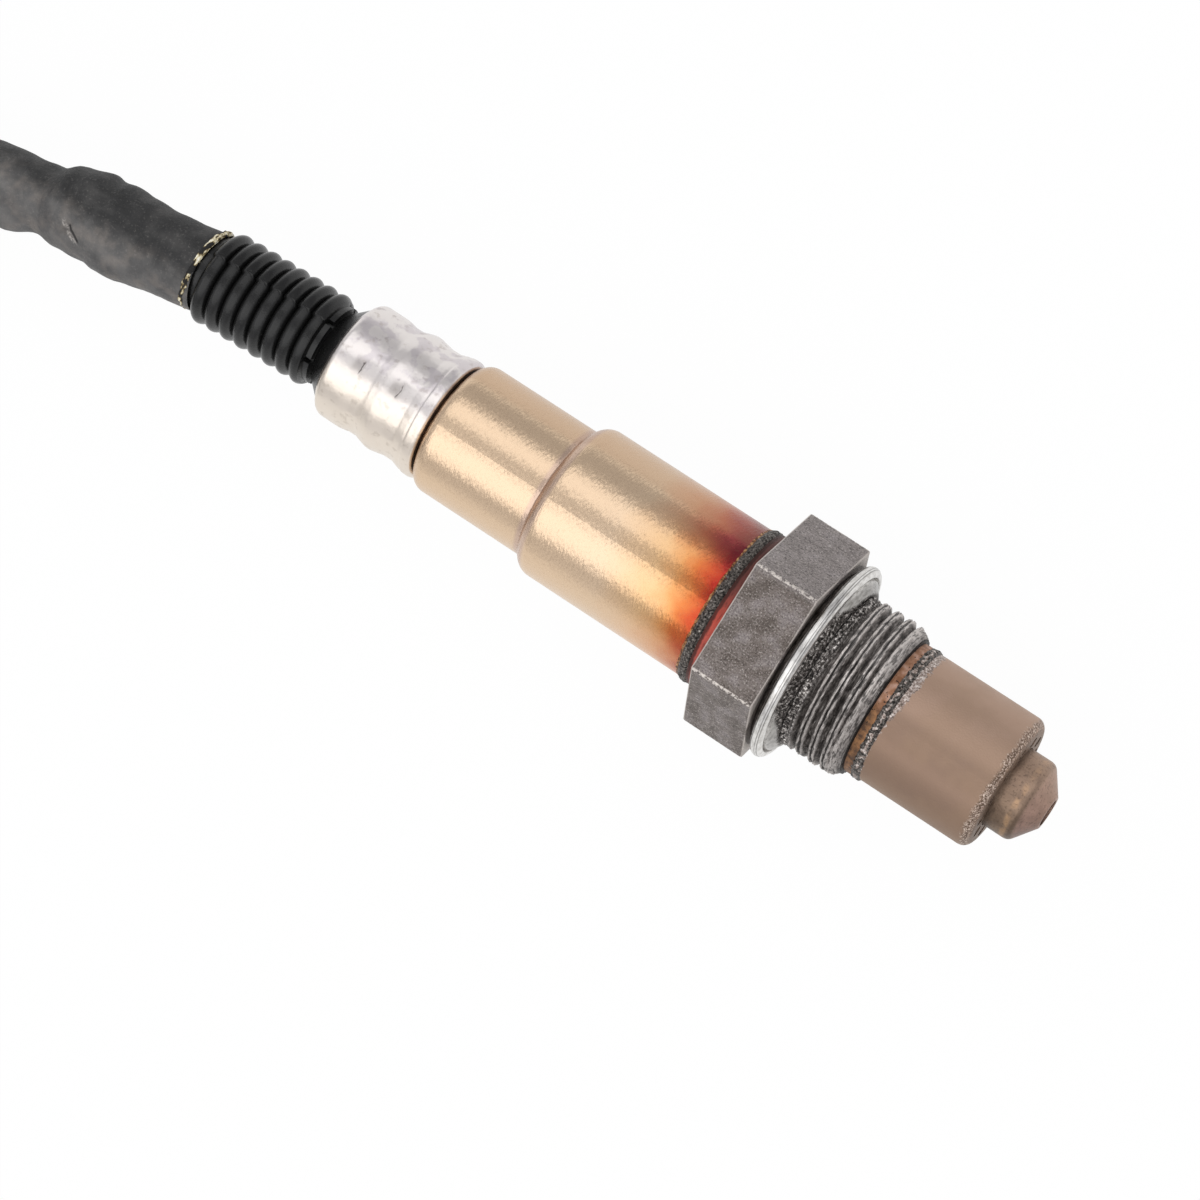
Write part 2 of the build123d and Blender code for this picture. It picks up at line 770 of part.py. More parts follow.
with BuildPart() as lead_tail:
    with BuildLine() as tail_path:
        FilletPolyline(*tail_points, radius=bend_radii(tail_points))
    with BuildSketch(Plane(origin=tail_path.line @ 0, z_dir=tail_path.line % 0)):
        Circle(lead_d / 2)
    sweep()
lead_tail.part.label = "lead_tail"
export_step(lead_tail.part, "parts/lead_tail.step")
print("tail bends, mm:", [round(radius, 1) for radius in bend_radii(tail_points)])
lead_length += measured("lead_tail", lead_tail, tail_path)
print(f"whole lead: {lead_length:.1f} mm")

tie_inner_width = strand_pitch + lead_d + 2 * slip
tie_inner_height = lead_d + 2 * slip

with BuildPart() as hank_tie:
    tie_centre = ((near_x + tie_width / 2), (outer_y + inner_y) / 2, lane_height)
    with BuildSketch(Plane(origin=tie_centre, x_dir=(0, -1, 0), z_dir=(-1, 0, 0))):
        SlotOverall(tie_inner_width + 2 * tie_wall, tie_inner_height + 2 * tie_wall)
        SlotOverall(tie_inner_width, tie_inner_height, mode=Mode.SUBTRACT)
        with Locations((0, tie_inner_height / 2 + tie_wall)):
            Rectangle(tie_width, 3 * tie_wall, align=(Align.CENTER, Align.MIN))
    extrude(amount=tie_width)
hank_tie.part.label = "hank_tie"
export_step(hank_tie.part, "parts/hank_tie.step")

# ---------------------------------------------------------------- plug

plug_start = tail_points[-1] + Vector(cap_mouth_depth, 0, 0)
housing_start = cap_length
housing_end = cap_length + housing_length
seal_end = housing_start + seal_length
core_end = housing_end - lock_thickness
resistor_station = housing_end - slot_depth - resistor_gap - resistor_width


def plug_section(distance):
    """Plane across the plug, facing its mating end, that far from its wire end."""
    origin = (plug_start.X - distance, plug_start.Y, plug_start.Z)
    return Plane(origin=origin, x_dir=(0, -1, 0), z_dir=(-1, 0, 0))


terminal_places = [
    ((column - (terminal_columns - 1) / 2) * terminal_pitch, (row - 0.5) * terminal_pitch)
    for row in reversed(range(terminal_rows))
    for column in range(terminal_columns)
]
wire_places = terminal_places[:wire_count]
resistor_places = terminal_places[wire_count - 1 : wire_count + 1]
resistor_x = sum(x for x, z in resistor_places) / len(resistor_places)
resistor_top = resistor_places[0][1] - cavity_size / 2

with BuildPart() as rear_cap:
    with BuildSketch(plug_section(0)):
        RectangleRounded(plug_width, plug_height, plug_corner)
    extrude(amount=cap_length - fit)
    with BuildSketch(plug_section(0)):
        Circle(lead_d / 2 + fit)
    extrude(amount=cap_mouth_depth, mode=Mode.SUBTRACT)
    with BuildSketch(plug_section(cap_mouth_depth)):
        RectangleRounded(cap_room_width, cap_room_height, plug_corner)
    extrude(amount=cap_length, mode=Mode.SUBTRACT)
rear_cap.part.label = "rear_cap"
export_step(rear_cap.part, "parts/rear_cap.step")

with BuildPart() as plug_housing:
    with BuildSketch(plug_section(housing_start)):
        RectangleRounded(plug_width, plug_height, plug_corner)
    extrude(amount=housing_length)
    with BuildSketch(plug_section(housing_start)):
        RectangleRounded(seal_width + 2 * fit, seal_height + 2 * fit, plug_corner)
    extrude(amount=seal_length, mode=Mode.SUBTRACT)
    with BuildSketch(plug_section(seal_end)):
        with Locations(*terminal_places):
            Rectangle(cavity_size, cavity_size)
    extrude(amount=housing_length, mode=Mode.SUBTRACT)
    with BuildSketch(plug_section(housing_end - slot_depth)):
        RectangleRounded(core_width + 2 * slot_width, core_height + 2 * slot_width, plug_corner)
        RectangleRounded(core_width, core_height, plug_corner / 2, mode=Mode.SUBTRACT)
    extrude(amount=slot_depth, mode=Mode.SUBTRACT)
    with BuildSketch(plug_section(core_end)):
        RectangleRounded(core_width + slot_width, core_height + slot_width, plug_corner)
    extrude(amount=lock_thickness, mode=Mode.SUBTRACT)
    with BuildSketch(plug_section(resistor_station)):
        with Locations((resistor_x, resistor_top)):
            Rectangle(
                resistor_length + 2 * fit,
                2 * (resistor_height + fit),
            )
    extrude(amount=resistor_width + 2 * fit, mode=Mode.SUBTRACT)
    latch_side = Plane(
        origin=(plug_start.X, plug_start.Y + latch_width / 2, plug_start.Z),
        x_dir=(-1, 0, 0),
        z_dir=(0, 1, 0),
    )
    latch_base = plug_height / 2 + latch_clearance
    latch_top = latch_base + latch_thickness
    with BuildSketch(latch_side):
        with BuildLine():
            Polyline(
                (housing_end - latch_length, latch_base),
                (housing_end - 2 * latch_thickness, latch_base),
                (housing_end - 2 * latch_thickness, plug_height / 2 - fit),
                (housing_end, plug_height / 2 - fit),
                (housing_end - latch_thickness, latch_top),
                (housing_end - latch_length, latch_top),
                close=True,
            )
        make_face()
    extrude(amount=-latch_width)
plug_housing.part.label = "plug_housing"
export_step(plug_housing.part, "parts/plug_housing.step")

with BuildPart() as terminal_lock:
    with BuildSketch(plug_section(core_end + fit)):
        RectangleRounded(core_width, core_height, plug_corner / 2)
        with Locations(*terminal_places):
            Rectangle(lock_hole, lock_hole, mode=Mode.SUBTRACT)
    extrude(amount=lock_thickness - fit)
terminal_lock.part.label = "terminal_lock"
export_step(terminal_lock.part, "parts/terminal_lock.step")

with BuildPart() as wire_seal:
    with BuildSketch(plug_section(housing_start + fit)):
        RectangleRounded(seal_width, seal_height, plug_corner - fit)
        with Locations(*wire_places):
            Circle(wire_d / 2 + fit, mode=Mode.SUBTRACT)
    extrude(amount=seal_length - 2 * fit)
wire_seal.part.label = "wire_seal"
export_step(wire_seal.part, "parts/wire_seal.step")

with BuildPart() as face_seal:
    seal_outer = 2 * (slot_width - fit)
    with BuildSketch(plug_section(housing_end - slot_depth + fit)):
        RectangleRounded(core_width + seal_outer, core_height + seal_outer, plug_corner - fit)
        RectangleRounded(
            core_width + 2 * fit, core_height + 2 * fit, plug_corner / 2 + fit, mode=Mode.SUBTRACT
        )
    extrude(amount=face_seal_length)
face_seal.part.label = "face_seal"
export_step(face_seal.part, "parts/face_seal.step")

terminal_size = cavity_size - 2 * fit
box_end = core_end - fit
box_start = box_end - terminal_box_length
barrel_start = seal_end + fit

for number, place in enumerate(terminal_places, start=1):
    with BuildPart() as plug_terminal:
        with BuildSketch(plug_section(box_start)):
            with Locations(place):
                Rectangle(terminal_size, terminal_size)
        extrude(amount=terminal_box_length)
        with BuildSketch(plug_section(box_start + spring_strip)):
            with Locations(place):
                Rectangle(terminal_opening, terminal_opening)
        extrude(amount=terminal_box_length, mode=Mode.SUBTRACT)
        with BuildSketch(plug_section(barrel_start)):
            with Locations(place):
                Circle(ferrule_bore_d / 2 + ferrule_wall)
                Circle(ferrule_bore_d / 2, mode=Mode.SUBTRACT)
        extrude(amount=box_start - barrel_start)
    plug_terminal.part.label = f"plug_terminal_{number}"
    export_step(plug_terminal.part, f"parts/plug_terminal_{number}.step")

with BuildPart() as trim_resistor:
    with BuildSketch(plug_section(resistor_station + fit)):
        with Locations((resistor_x, resistor_top + fit)):
            Rectangle(resistor_length, resistor_height, align=(Align.CENTER, Align.MAX))
    extrude(amount=resistor_width)
trim_resistor.part.label = "trim_resistor"
export_step(trim_resistor.part, "parts/trim_resistor.step")

# Each wire fans out from the lead to its terminal, keeping its place in the ring of wires.
for number, (place, angle) in enumerate(zip(wire_places, wire_angles), start=1):
    from_y, from_z = wire_place(angle)
    with BuildPart() as plug_wire:
        with BuildSketch(plug_section(cap_mouth_depth)):
            with Locations((from_y, from_z)):
                Circle(wire_d / 2)
        with BuildSketch(plug_section(housing_start)):
            with Locations(place):
                Circle(wire_d / 2)
        loft()
        with BuildSketch(plug_section(housing_start)):
            with Locations(place):
                Circle(wire_d / 2)
        extrude(amount=box_start - fit - housing_start)
    plug_wire.part.label = f"plug_wire_{number}"
    export_step(plug_wire.part, f"parts/plug_wire_{number}.step")
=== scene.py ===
import json
from math import cos, exp, hypot, pi, radians, sin, tan

import bpy
from mathutils import Matrix, Vector, noise


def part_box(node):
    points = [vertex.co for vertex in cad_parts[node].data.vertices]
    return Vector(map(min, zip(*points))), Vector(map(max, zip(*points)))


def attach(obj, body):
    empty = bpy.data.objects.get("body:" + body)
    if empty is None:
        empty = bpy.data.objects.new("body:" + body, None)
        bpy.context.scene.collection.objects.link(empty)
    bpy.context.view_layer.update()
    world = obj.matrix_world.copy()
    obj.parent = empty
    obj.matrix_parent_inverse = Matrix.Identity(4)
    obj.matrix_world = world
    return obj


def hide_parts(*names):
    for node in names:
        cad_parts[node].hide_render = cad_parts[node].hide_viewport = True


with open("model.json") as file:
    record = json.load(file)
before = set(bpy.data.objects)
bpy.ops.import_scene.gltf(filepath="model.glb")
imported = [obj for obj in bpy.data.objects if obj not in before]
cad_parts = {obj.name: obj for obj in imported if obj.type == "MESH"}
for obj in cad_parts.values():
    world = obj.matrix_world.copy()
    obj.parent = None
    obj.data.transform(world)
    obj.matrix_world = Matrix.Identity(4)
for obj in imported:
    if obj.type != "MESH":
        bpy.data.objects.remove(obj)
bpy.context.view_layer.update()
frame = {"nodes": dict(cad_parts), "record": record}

# Looks of the planar oxygen sensor. Sizes are in millimetres and become metres where a mesh is
# made. Stations run along the sensor's axis from the hexagon's front face, positive to the nose,
# and angles turn about the axis from +Y (0) through +Z (90).

MM = 0.001
nodes = frame["nodes"]

# ------ sizes shared with the solids

fit = 0.05
face_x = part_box("sealing_ring")[0][0] / MM - fit
axis_z = sum(corner[2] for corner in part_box("protective_sleeve")) / 2 / MM

spigot_end, pilot_end, thread_end = 13.4, 10.9, 9.7
spigot_r, pilot_r, thread_r, neck_r, front_bore_r = 7.1, 7.75, 9.0, 8.1, 4.5
thread_pitch = 1.5
hex_half, hex_rear, hex_edge = 11.0, -7.45, 0.25
collar_r, collar_end = 9.15, -8.75
rear_spigot_r, body_end, bore_r, bore_seat = 8.38, -13.0, 6.0, 7.5
tube_r, tube_end, sleeve_r, sleeve_end = 7.65, 24.7, 8.93, -45.5

crimp_start, crimp_end, crimp_wall = -45.85, -58.85, 0.45
lip_r, shallow_r, bulge_r, deep_r, rear_r, mouth_r = 7.15, 6.72, 7.0, 6.58, 6.8, 5.9
shallow_groove, bulge, deep_groove, groove_half = -49.1, -51.5, -53.65, 0.7

neck_start, folds_start, folds_end, boot_end = -60.85, -61.6, -76.24, -77.45
boot_foot, boot_bore_r = -56.15, 3.3
neck_boot_r, fold_crest_r, fold_depth, fold_count, fold_pitch = 4.1, 5.4, 0.85, 8, 1.83
boot_tail_r = 4.35

lead_r = 4.7
lane_z = 5.65
exit_x = face_x + boot_end

# ------ mesh helpers


def at(station, y, z):
    """Point beside the sensor's axis, in metres."""
    return Vector((face_x + station, y, axis_z + z)) * MM


def around(station, radius, angle):
    """Point at a radius and an angle about the axis, in millimetres from the hexagon's face."""
    return Vector((station, radius * cos(radians(angle)), radius * sin(radians(angle))))


def lumps(point, size, octaves=3):
    """Smooth noise between about -1 and 1, whose lumps have that size in millimetres."""
    return noise.fractal(point / size, 1.0, 2.0, octaves)


def smooth(low, high, value):
    """0 below low, 1 above high, and a soft step between them."""
    share = min(max((value - low) / (high - low), 0.0), 1.0)
    return share * share * (3 - 2 * share)


def bell(away):
    """1 at 0, falling softly to nothing at about 2."""
    return exp(-(away**2))


def fine(corners, step):
    """The corners with more points between them, so that no run is longer than step."""
    points = [corners[0]]
    for (s0, r0), (s1, r1) in zip(corners, corners[1:]):
        count = max(1, int(hypot(s1 - s0, r1 - r0) / step + 0.999))
        for i in range(1, count + 1):
            points.append((s0 + (s1 - s0) * i / count, r0 + (r1 - r0) * i / count))
    return points


def rounded(corners, turns=6):
    """Points of a line of (station, radius[, rounding]) corners, an arc at each rounded one."""
    points = []
    for i, corner in enumerate(corners):
        here = Vector(corner[:2])
        if len(corner) < 3:
            points.append(tuple(here))
            continue
        before = (Vector(corners[i - 1][:2]) - here).normalized()
        after = (Vector(corners[i + 1][:2]) - here).normalized()
        half = before.angle(after) / 2
        middle = here + (before + after).normalized() * corner[2] / sin(half)
        start, end = (here + way * corner[2] / tan(half) - middle for way in (before, after))
        for k in range(turns + 1):
            points.append(tuple(middle + start.slerp(end, k / turns) * corner[2]))
    return points


def link(thing):
    """Puts an object into the scene."""
    bpy.context.scene.collection.objects.link(thing)


def make_piece(name, points, faces, sharp):
    """Smooth mesh object that rides on the sensor and keeps edges sharper than that angle."""
    mesh = bpy.data.meshes.new(name)
    mesh.from_pydata(points, [], faces)
    mesh.update()
    for face in mesh.polygons:
        face.use_smooth = True
    mesh.set_sharp_from_angle(angle=radians(sharp))
    piece = bpy.data.objects.new(name, mesh)
    link(piece)
    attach(piece, "root")
    return piece


def grid_faces(rings, segments, closed):
    """Quads between neighbouring rings, facing outwards where rings run from nose to rear."""
    faces = []
    for ring in range(rings if closed else rings - 1):
        row, after = ring * segments, (ring + 1) % rings * segments
        for k in range(segments):
            step = (k + 1) % segments
            faces.append((row + k, after + k, after + step, row + step))
    return faces


def lathe(name, rings, segments, shape, sharp, drift=None):
    """Closed surface through (station, radius) rings about the axis.

    shape moves each point to a new station and radius, and drift moves a station towards +Y.
    """
    points = []
    for station, radius in rings:
        for k in range(segments):
            angle = 360 * k / segments
            s, r = shape(station, radius, angle)
            place = around(s, r, angle)
            points.append(at(place.x, place.y + (drift(s) if drift else 0), place.z))
    return make_piece(name, points, grid_faces(len(rings), segments, True), sharp)


# ------ threaded body

thread_depth, crest_half, flank_run, thread_phase = 0.56, 0.3, 0.3, 0.53
last_crest_end, chamfer_start, runout = 9.9, 8.3, (thread_end - 0.95, thread_end - 1.35)
# Wear along the crests: size of the torn marks, and depth and width of the split in each crest.
tear_along, tear_round, split_depth, split_width = 0.3, 1.6, 0.16, 0.12
crevice_depth, crevice_width = 0.14, 0.1
# Grit fills the thread next to the sealing ring, up to this radius.
grit_start, grit_r = 2.82, 8.85
hex_turn, hex_corner_cut, hex_cut = 30, 0.07, 0.12


def thread_radius(station, angle):
    """Radius of the worn right-hand thread: split crests, and grit packed in the roots."""
    point = around(station, thread_r, angle)
    drawn = Vector((point.x / tear_along, point.y / tear_round, point.z / tear_round))
    tear = noise.fractal(drawn, 0.8, 2.0, 4)
    turn = (station / thread_pitch - angle / 360 + thread_phase) % 1
    beside_crest = abs(turn - 0.5) * thread_pitch + 0.06 * tear
    share = smooth(crest_half, crest_half + flank_run, beside_crest)
    threaded = smooth(*runout, station)
    radius = thread_r - share * thread_depth * threaded
    radius -= split_depth * bell(beside_crest / split_width) * threaded
    beside_root = min(turn, 1 - turn) * thread_pitch + 0.08 * lumps(point, 1.5, 2)
    radius -= crevice_depth * bell(beside_root / crevice_width) * threaded
    radius = min(radius, thread_r - 0.4 * max(station - chamfer_start, 0) ** 1.6)
    packed = smooth(grit_start + 1.2, grit_start + 0.4, station)
    radius += packed * (grit_r - radius)
    grit = (0.05 + 0.07 * share + 0.12 * packed) * lumps(point, 0.35, 4)
    return radius + grit + 0.13 * tear - 0.05


def body_shape(station, radius, angle):
    """Turns the widest rings into the hexagon and those of the thread into its worn helix."""
    point = around(station, radius, angle)
    if radius > hex_half - 0.5:
        beside_flat = (angle - 90 + hex_turn) % 60 - hex_turn
        corner_r = hex_half / cos(radians(hex_turn)) - hex_corner_cut
        radius = min(radius / cos(radians(beside_flat)), corner_r)
        return station, radius + 0.012 * lumps(point, 2.0)
    if grit_start < station < last_crest_end and radius > thread_r - 0.01:
        return station, thread_radius(station, angle)
    if 0 < station < grit_start and radius < thread_r:
        return station, radius + 0.04 * lumps(point, 0.6)
    return station, radius


body_rings = (
    [(spigot_end, front_bore_r), (spigot_end, spigot_r), (pilot_end, spigot_r)]
    + [(pilot_end, pilot_r)]
    + fine([(pilot_end - 0.1, pilot_r), (last_crest_end + 0.02, pilot_r)], 0.3)
    + fine([(last_crest_end - 0.01, thread_r), (grit_start + 0.01, thread_r)], 0.06)
    + fine([(grit_start, neck_r + 0.3), (0.02, neck_r)], 0.4)
    + fine([(0, neck_r), (0, hex_half - hex_edge - 0.05), (0, hex_half - hex_edge)], 1.0)
    + [(-0.05, hex_half - hex_cut)]
    + fine([(-hex_edge, hex_half), (hex_rear + hex_edge, hex_half)], 0.25)
    + [(hex_rear + 0.05, hex_half - hex_cut)]
    + fine([(hex_rear, hex_half - hex_edge), (hex_rear, collar_r)], 0.8)
    + [(collar_end, collar_r), (collar_end, rear_spigot_r), (body_end, rear_spigot_r)]
    + [(body_end, bore_r), (bore_seat, bore_r), (bore_seat, front_bore_r)]
)
threaded_body = lathe("threaded_body", body_rings, 480, body_shape, sharp=30)
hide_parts("hex_body")

# ------ weld beads

bead_steps, bead_foot = 24, 0.2
toe_height, toe_width = 0.05, 0.1
puddle_count = 60


def weld_bead(name, front, rear, toe, surface_r, rise, lump):
    """Lumpy bead over the joint between two round pieces, with a thin toe along both edges."""
    width = front - rear
    section = []
    for i in range(bead_steps + 1):
        beside = min(i, bead_steps - i) / bead_steps * width
        crown = smooth(toe, toe + 0.22 * width, beside)
        radius = surface_r + toe_height * min(beside / toe_width, 1) + rise * crown
        section.append((front - width * i / bead_steps, radius))
    section += [(rear, surface_r - bead_foot), (front, surface_r - bead_foot)]

    def bead_shape(station, radius, angle):
        """Ragged edges, and lumps that grow with the bead's height over the surface."""
        point = around(station, radius, angle)
        if radius < surface_r - bead_foot / 2:
            return station, radius
        crown = (radius - surface_r) / rise
        edge = 0.07 * lumps(point, 1.8, 2) + 0.08 * lumps(point, 0.4, 2)
        puddle = sin(radians(angle) * puddle_count + 2.5 * lumps(point, 5, 1))
        swell = lump * crown * (0.8 * lumps(point, 0.45, 4) + 0.15 * puddle)
        return station + edge, radius + swell + 0.012 * lumps(point, 0.3)

    return lathe(name, section, 480, bead_shape, sharp=60)


front_bead = weld_bead(
    "front_weld_bead", pilot_end + 0.98, pilot_end - 0.2, 0.04, tube_r, rise=0.12, lump=0.1
)
bead_rear = collar_end - 1.35
rear_bead = weld_bead(
    "rear_weld_bead", collar_end + 0.25, bead_rear, 0.2, sleeve_r + 0.02, rise=0.19, lump=0.09
)

# ------ crimped collar

jaw_count, jaw_gap, crease_turn = 6, 72, 12
lip_front = crimp_start + 0.17
# A crease and a dent beside each groove: station from it, half length, half turn and depth.
jaw_marks = ((-0.95, 0.13, 6, 0.12), (-0.5, 0.5, 6, 0.05))
lip_groove = (crimp_start - 1.3, 0.16, 0.06)

collar_rings = fine(
    rounded(
        [
            (lip_front, deep_r - crimp_wall),
            (lip_front, lip_r, 0.55),
            (crimp_start - 1.1, lip_r, 1.5),
            (shallow_groove + groove_half, shallow_r, 1.3),
            (shallow_groove - groove_half, shallow_r, 1.3),
            (bulge + 0.25, bulge_r, 1.3),
            (bulge - 0.25, bulge_r, 1.3),
            (deep_groove + 0.5 * groove_half, deep_r, 1.3),
            (deep_groove - groove_half, deep_r, 1.1),
            (deep_groove - 2.6 * groove_half, rear_r, 1.5),
            (crimp_end + 0.6, rear_r, 0.95),
            (crimp_end, mouth_r),
            (crimp_end + 0.36, mouth_r - 0.26),
            (crimp_end + 1.2, deep_r - crimp_wall),
        ]
    ),
    0.12,
)


def collar_shape(station, radius, angle):
    """Shallow marks of the crimping jaws, with the metal raised and creased between them."""
    inside = radius < deep_r - crimp_wall + 0.01
    if inside or not crimp_end + 0.5 <= station <= crimp_start - 0.5:
        return station, radius
    pitch = 360 / jaw_count
    beside_gap = (angle - jaw_gap + pitch / 2) % pitch - pitch / 2
    point = around(station, radius, angle)
    for groove in (shallow_groove, deep_groove):
        pressed = 1 - smooth(0.62, 0.95, abs(station - groove))
        radius += pressed * (0.035 * (1 - smooth(0, 8, abs(beside_gap))) - 0.025)
        for along, half_length, half_turn, depth in jaw_marks:
            beside = (beside_gap - crease_turn) / half_turn
            radius -= depth * bell(hypot((station - groove - along) / half_length, beside))
        corner = hypot((station - groove) / 0.6, beside_gap / 4)
        radius += 0.03 * bell(corner) * lumps(point, 0.4)
    radius -= lip_groove[2] * bell((station - lip_groove[0]) / lip_groove[1])
    return station, radius + 0.03 * lumps(point, 3.2, 2) + 0.01 * lumps(point, 1.0, 2)


crimped_collar = lathe("crimped_collar", collar_rings, 360, collar_shape, sharp=50)
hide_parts("crimp_collar")

# ------ rubber boot

# The mould's joint: its angle, the step that it leaves across the folds, and its raised seam.
mould_angle, mould_step, seam_rise, seam_half_turn = 63, 0.13, 0.06, 1.8
pad_count, pad_gap, pad_height = 6, 59, 0.55
boot_bend, bend_power = 0.5, 1.6
fold_steps, fold_power = 16, 0.62
valley_r = fold_crest_r - fold_depth


def boot_drift(station):
    """The boot leans a little to the side towards its end, where the lead pulls it."""
    share = max((neck_start - station) / (neck_start - boot_end), 0)
    return -boot_bend * share**bend_power


def boot_shape(station, radius, angle):
    """The mould's step across the folds, and the raised pads around the neck."""
    if radius < neck_boot_r - 0.02 or station > neck_start:
        return station, radius
    half = 1 if (angle - mould_angle) % 360 < 180 else -1
    beside_step = min((angle - mould_angle) % 180, (mould_angle - angle) % 180)
    if station < folds_start - 0.3:
        seam = seam_rise * max(0, 1 - beside_step / seam_half_turn)
        return station + half * mould_step * smooth(0, 2.0, beside_step), radius + seam
    pitch = 360 / pad_count
    beside_gap = abs((angle - pad_gap + pitch / 2) % pitch - pitch / 2)
    pad = smooth(2.4, 3.6, beside_gap) * smooth(neck_start, neck_start - 0.12, station)
    return station, max(radius, neck_boot_r + pad_height * pad)


fold_rings = []
for fold in range(fold_count):
    for i in range(1, fold_steps + 1):
        rise = sin(pi * i / fold_steps) ** fold_power if i < fold_steps else 0
        place = folds_start - fold_pitch * (fold + i / fold_steps)
        fold_rings.append((place, valley_r + fold_depth * rise))
foot_r = deep_r - crimp_wall - fit
boot_rings = (
    [(boot_foot, boot_bore_r), (boot_foot, foot_r)]
    + [(crimp_end + 1.15, foot_r), (crimp_end + 0.33, mouth_r - 0.3)]
    + fine([(crimp_end - 0.03, mouth_r - 0.06), (neck_start + 0.02, neck_boot_r)], 0.2)
    + fine([(neck_start, neck_boot_r), (folds_start, neck_boot_r)], 0.06)
    + fold_rings
    + [(folds_end, boot_tail_r + 0.12), (folds_end - 0.3, boot_tail_r)]
    + [(boot_end + 0.25, boot_tail_r), (boot_end, boot_tail_r - 0.15), (boot_end, boot_bore_r)]
)
boot = lathe("ribbed_boot", boot_rings, 360, boot_shape, sharp=50, drift=boot_drift)
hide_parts("bellows_boot")

# ------ lead

# Way of the lead's middle from the boot: along X from the boot's end, to the side, and its
# height as a share of the way up from the hank's lane to the sensor's axis.
lead_route = [
    (1.5, -0.3, 1.00),
    (-11.1, -2.0, 0.96),
    (-22.6, -4.6, 0.80),
    (-33.6, -7.0, 0.50),
    (-43.6, -8.5, 0.16),
    (-51.6, -9.0, 0.00),
    (-63.6, -9.0, 0.00),
]
near_fold_r, strand_pitch, fold_distance = 28.4, 9.8, 82.0
inner_turn, tail_run, tail_steps = 30.0, 10.0, 3
plug_axis_z, tail_rises = 7.0, (0, 0, 0.4, 1, 1)

route = []
for along, side, share in lead_route:
    route.append(Vector((exit_x + along, side, lane_z + share * (axis_z - lane_z))))
far_fold_r = near_fold_r + strand_pitch / 2
near_x = route[-2].x - strand_pitch / 2
far_x = near_x - fold_distance
outer_y = route[-1].y
return_y = outer_y - 2 * far_fold_r
near_y = return_y + near_fold_r


def fold_points(x, y, radius, start, count):
    """Points of a turn of the lead, twelve to the full circle, from an angle on."""
    reach = radius / cos(radians(15))
    angles = [radians(start + 30 * step) for step in range(count)]
    return [Vector((x + reach * cos(a), y + reach * sin(a), lane_z)) for a in angles]


route += fold_points(far_x, outer_y - far_fold_r, far_fold_r, 105, 6)
route += fold_points(near_x, near_y, near_fold_r, -75, 7)
leaving = radians(90 + inner_turn)
leaving_x, leaving_y = near_x + near_fold_r * cos(leaving), near_y + near_fold_r * sin(leaving)
tail = [Vector((leaving_x, leaving_y, lane_z))]
for step in range(tail_steps + 1):
    heading = radians(180 + inner_turn * (1 - step / tail_steps))
    tail.append(tail[-1] + Vector((cos(heading), sin(heading), 0)) * tail_run)
for point, share in zip(tail, tail_rises):
    point.z += (plug_axis_z - lane_z) * share
route += tail[1:]


def spline_points(points):
    """Points along the smooth NURBS spline that has these control points, in metres."""
    curve = bpy.data.curves.new("route", "CURVE")
    curve.dimensions = "3D"
    spline = curve.splines.new("NURBS")
    spline.points.add(len(points) - 1)
    for control, point in zip(spline.points, points):
        control.co = (*(point * MM), 1)
    spline.order_u = 3
    spline.use_endpoint_u = True
    spline.resolution_u = 24
    carrier = bpy.data.objects.new("route", curve)
    link(carrier)
    bpy.context.view_layer.update()
    mesh = bpy.data.meshes.new_from_object(carrier)
    found = [vertex.co.copy() for vertex in mesh.vertices]
    bpy.data.objects.remove(carrier)
    bpy.data.meshes.remove(mesh)
    return found


def resample(points, distances):
    """Points at those distances along a line of points, in metres."""
    found, passed, k = [], 0.0, 0
    run = (points[1] - points[0]).length
    for distance in distances:
        while distance > passed + run and k < len(points) - 2:
            passed += run
            k += 1
            run = (points[k + 1] - points[k]).length
        found.append(points[k].lerp(points[k + 1], (distance - passed) / run))
    return found


lead_line = spline_points(route)
lead_length = sum((b - a).length for a, b in zip(lead_line, lead_line[1:])) / MM
# Rings of the lead stand closer together as far as the photograph shows it.
hidden_start, seen_length, seen_step, rest_step = 1.1, 34.0, 0.3, 1.3
seen_count = int((seen_length - hidden_start) / seen_step)
rest_length = lead_length - seen_length
rest_count = int(rest_length / rest_step)
lead_steps = [hidden_start + i * seen_step for i in range(seen_count)]
lead_steps += [seen_length + rest_length * i / rest_count for i in range(rest_count + 1)]
lead_path = resample(lead_line, [step * MM for step in lead_steps])

# Half width of the loose sleeving to its +Y and -Y sides, at distances along it.
left_bulges = [(0, 4.5), (4, 4.42), (7, 4.5), (10, 4.72), (12.8, 5.2), (13.8, 5.12)]
left_bulges += [(15.4, 5.45), (18.3, 5.2), (21, 4.4), (23.5, 4.38), (30, 4.8), (38, 4.7)]
right_bulges = [(0, 4.66), (6, 4.8), (9, 5.0), (11.5, 5.25), (13.3, 5.1), (15.3, 4.65)]
right_bulges += [(16.5, 4.58), (19, 4.15), (21.8, 3.48), (26, 4.3), (38, 4.7)]
# The fold, the scuff's three ridges (distance, half length, depth) and the pinch beside it.
loose_end = 60
fold_at, fold_half, fold_dip, fold_turn = 13.4, 0.5, 0.13, 60
scuff_ridges = ((16.5, 0.3, 0.5), (15.95, 0.28, -0.22), (17.1, 0.35, -0.2))
scuff_turn = -22
pinch_at, pinch_half, pinch_dip, pinch_turn = 21.5, 1.2, 0.15, 45


def bulge_at(bulges, distance):
    """Half width of the sleeving at a distance along it, between the listed ones."""
    for (d0, r0), (d1, r1) in zip(bulges, bulges[1:]):
        if distance < d1:
            return r0 + (r1 - r0) * smooth(d0, d1, distance)
    return lead_r - 0.05


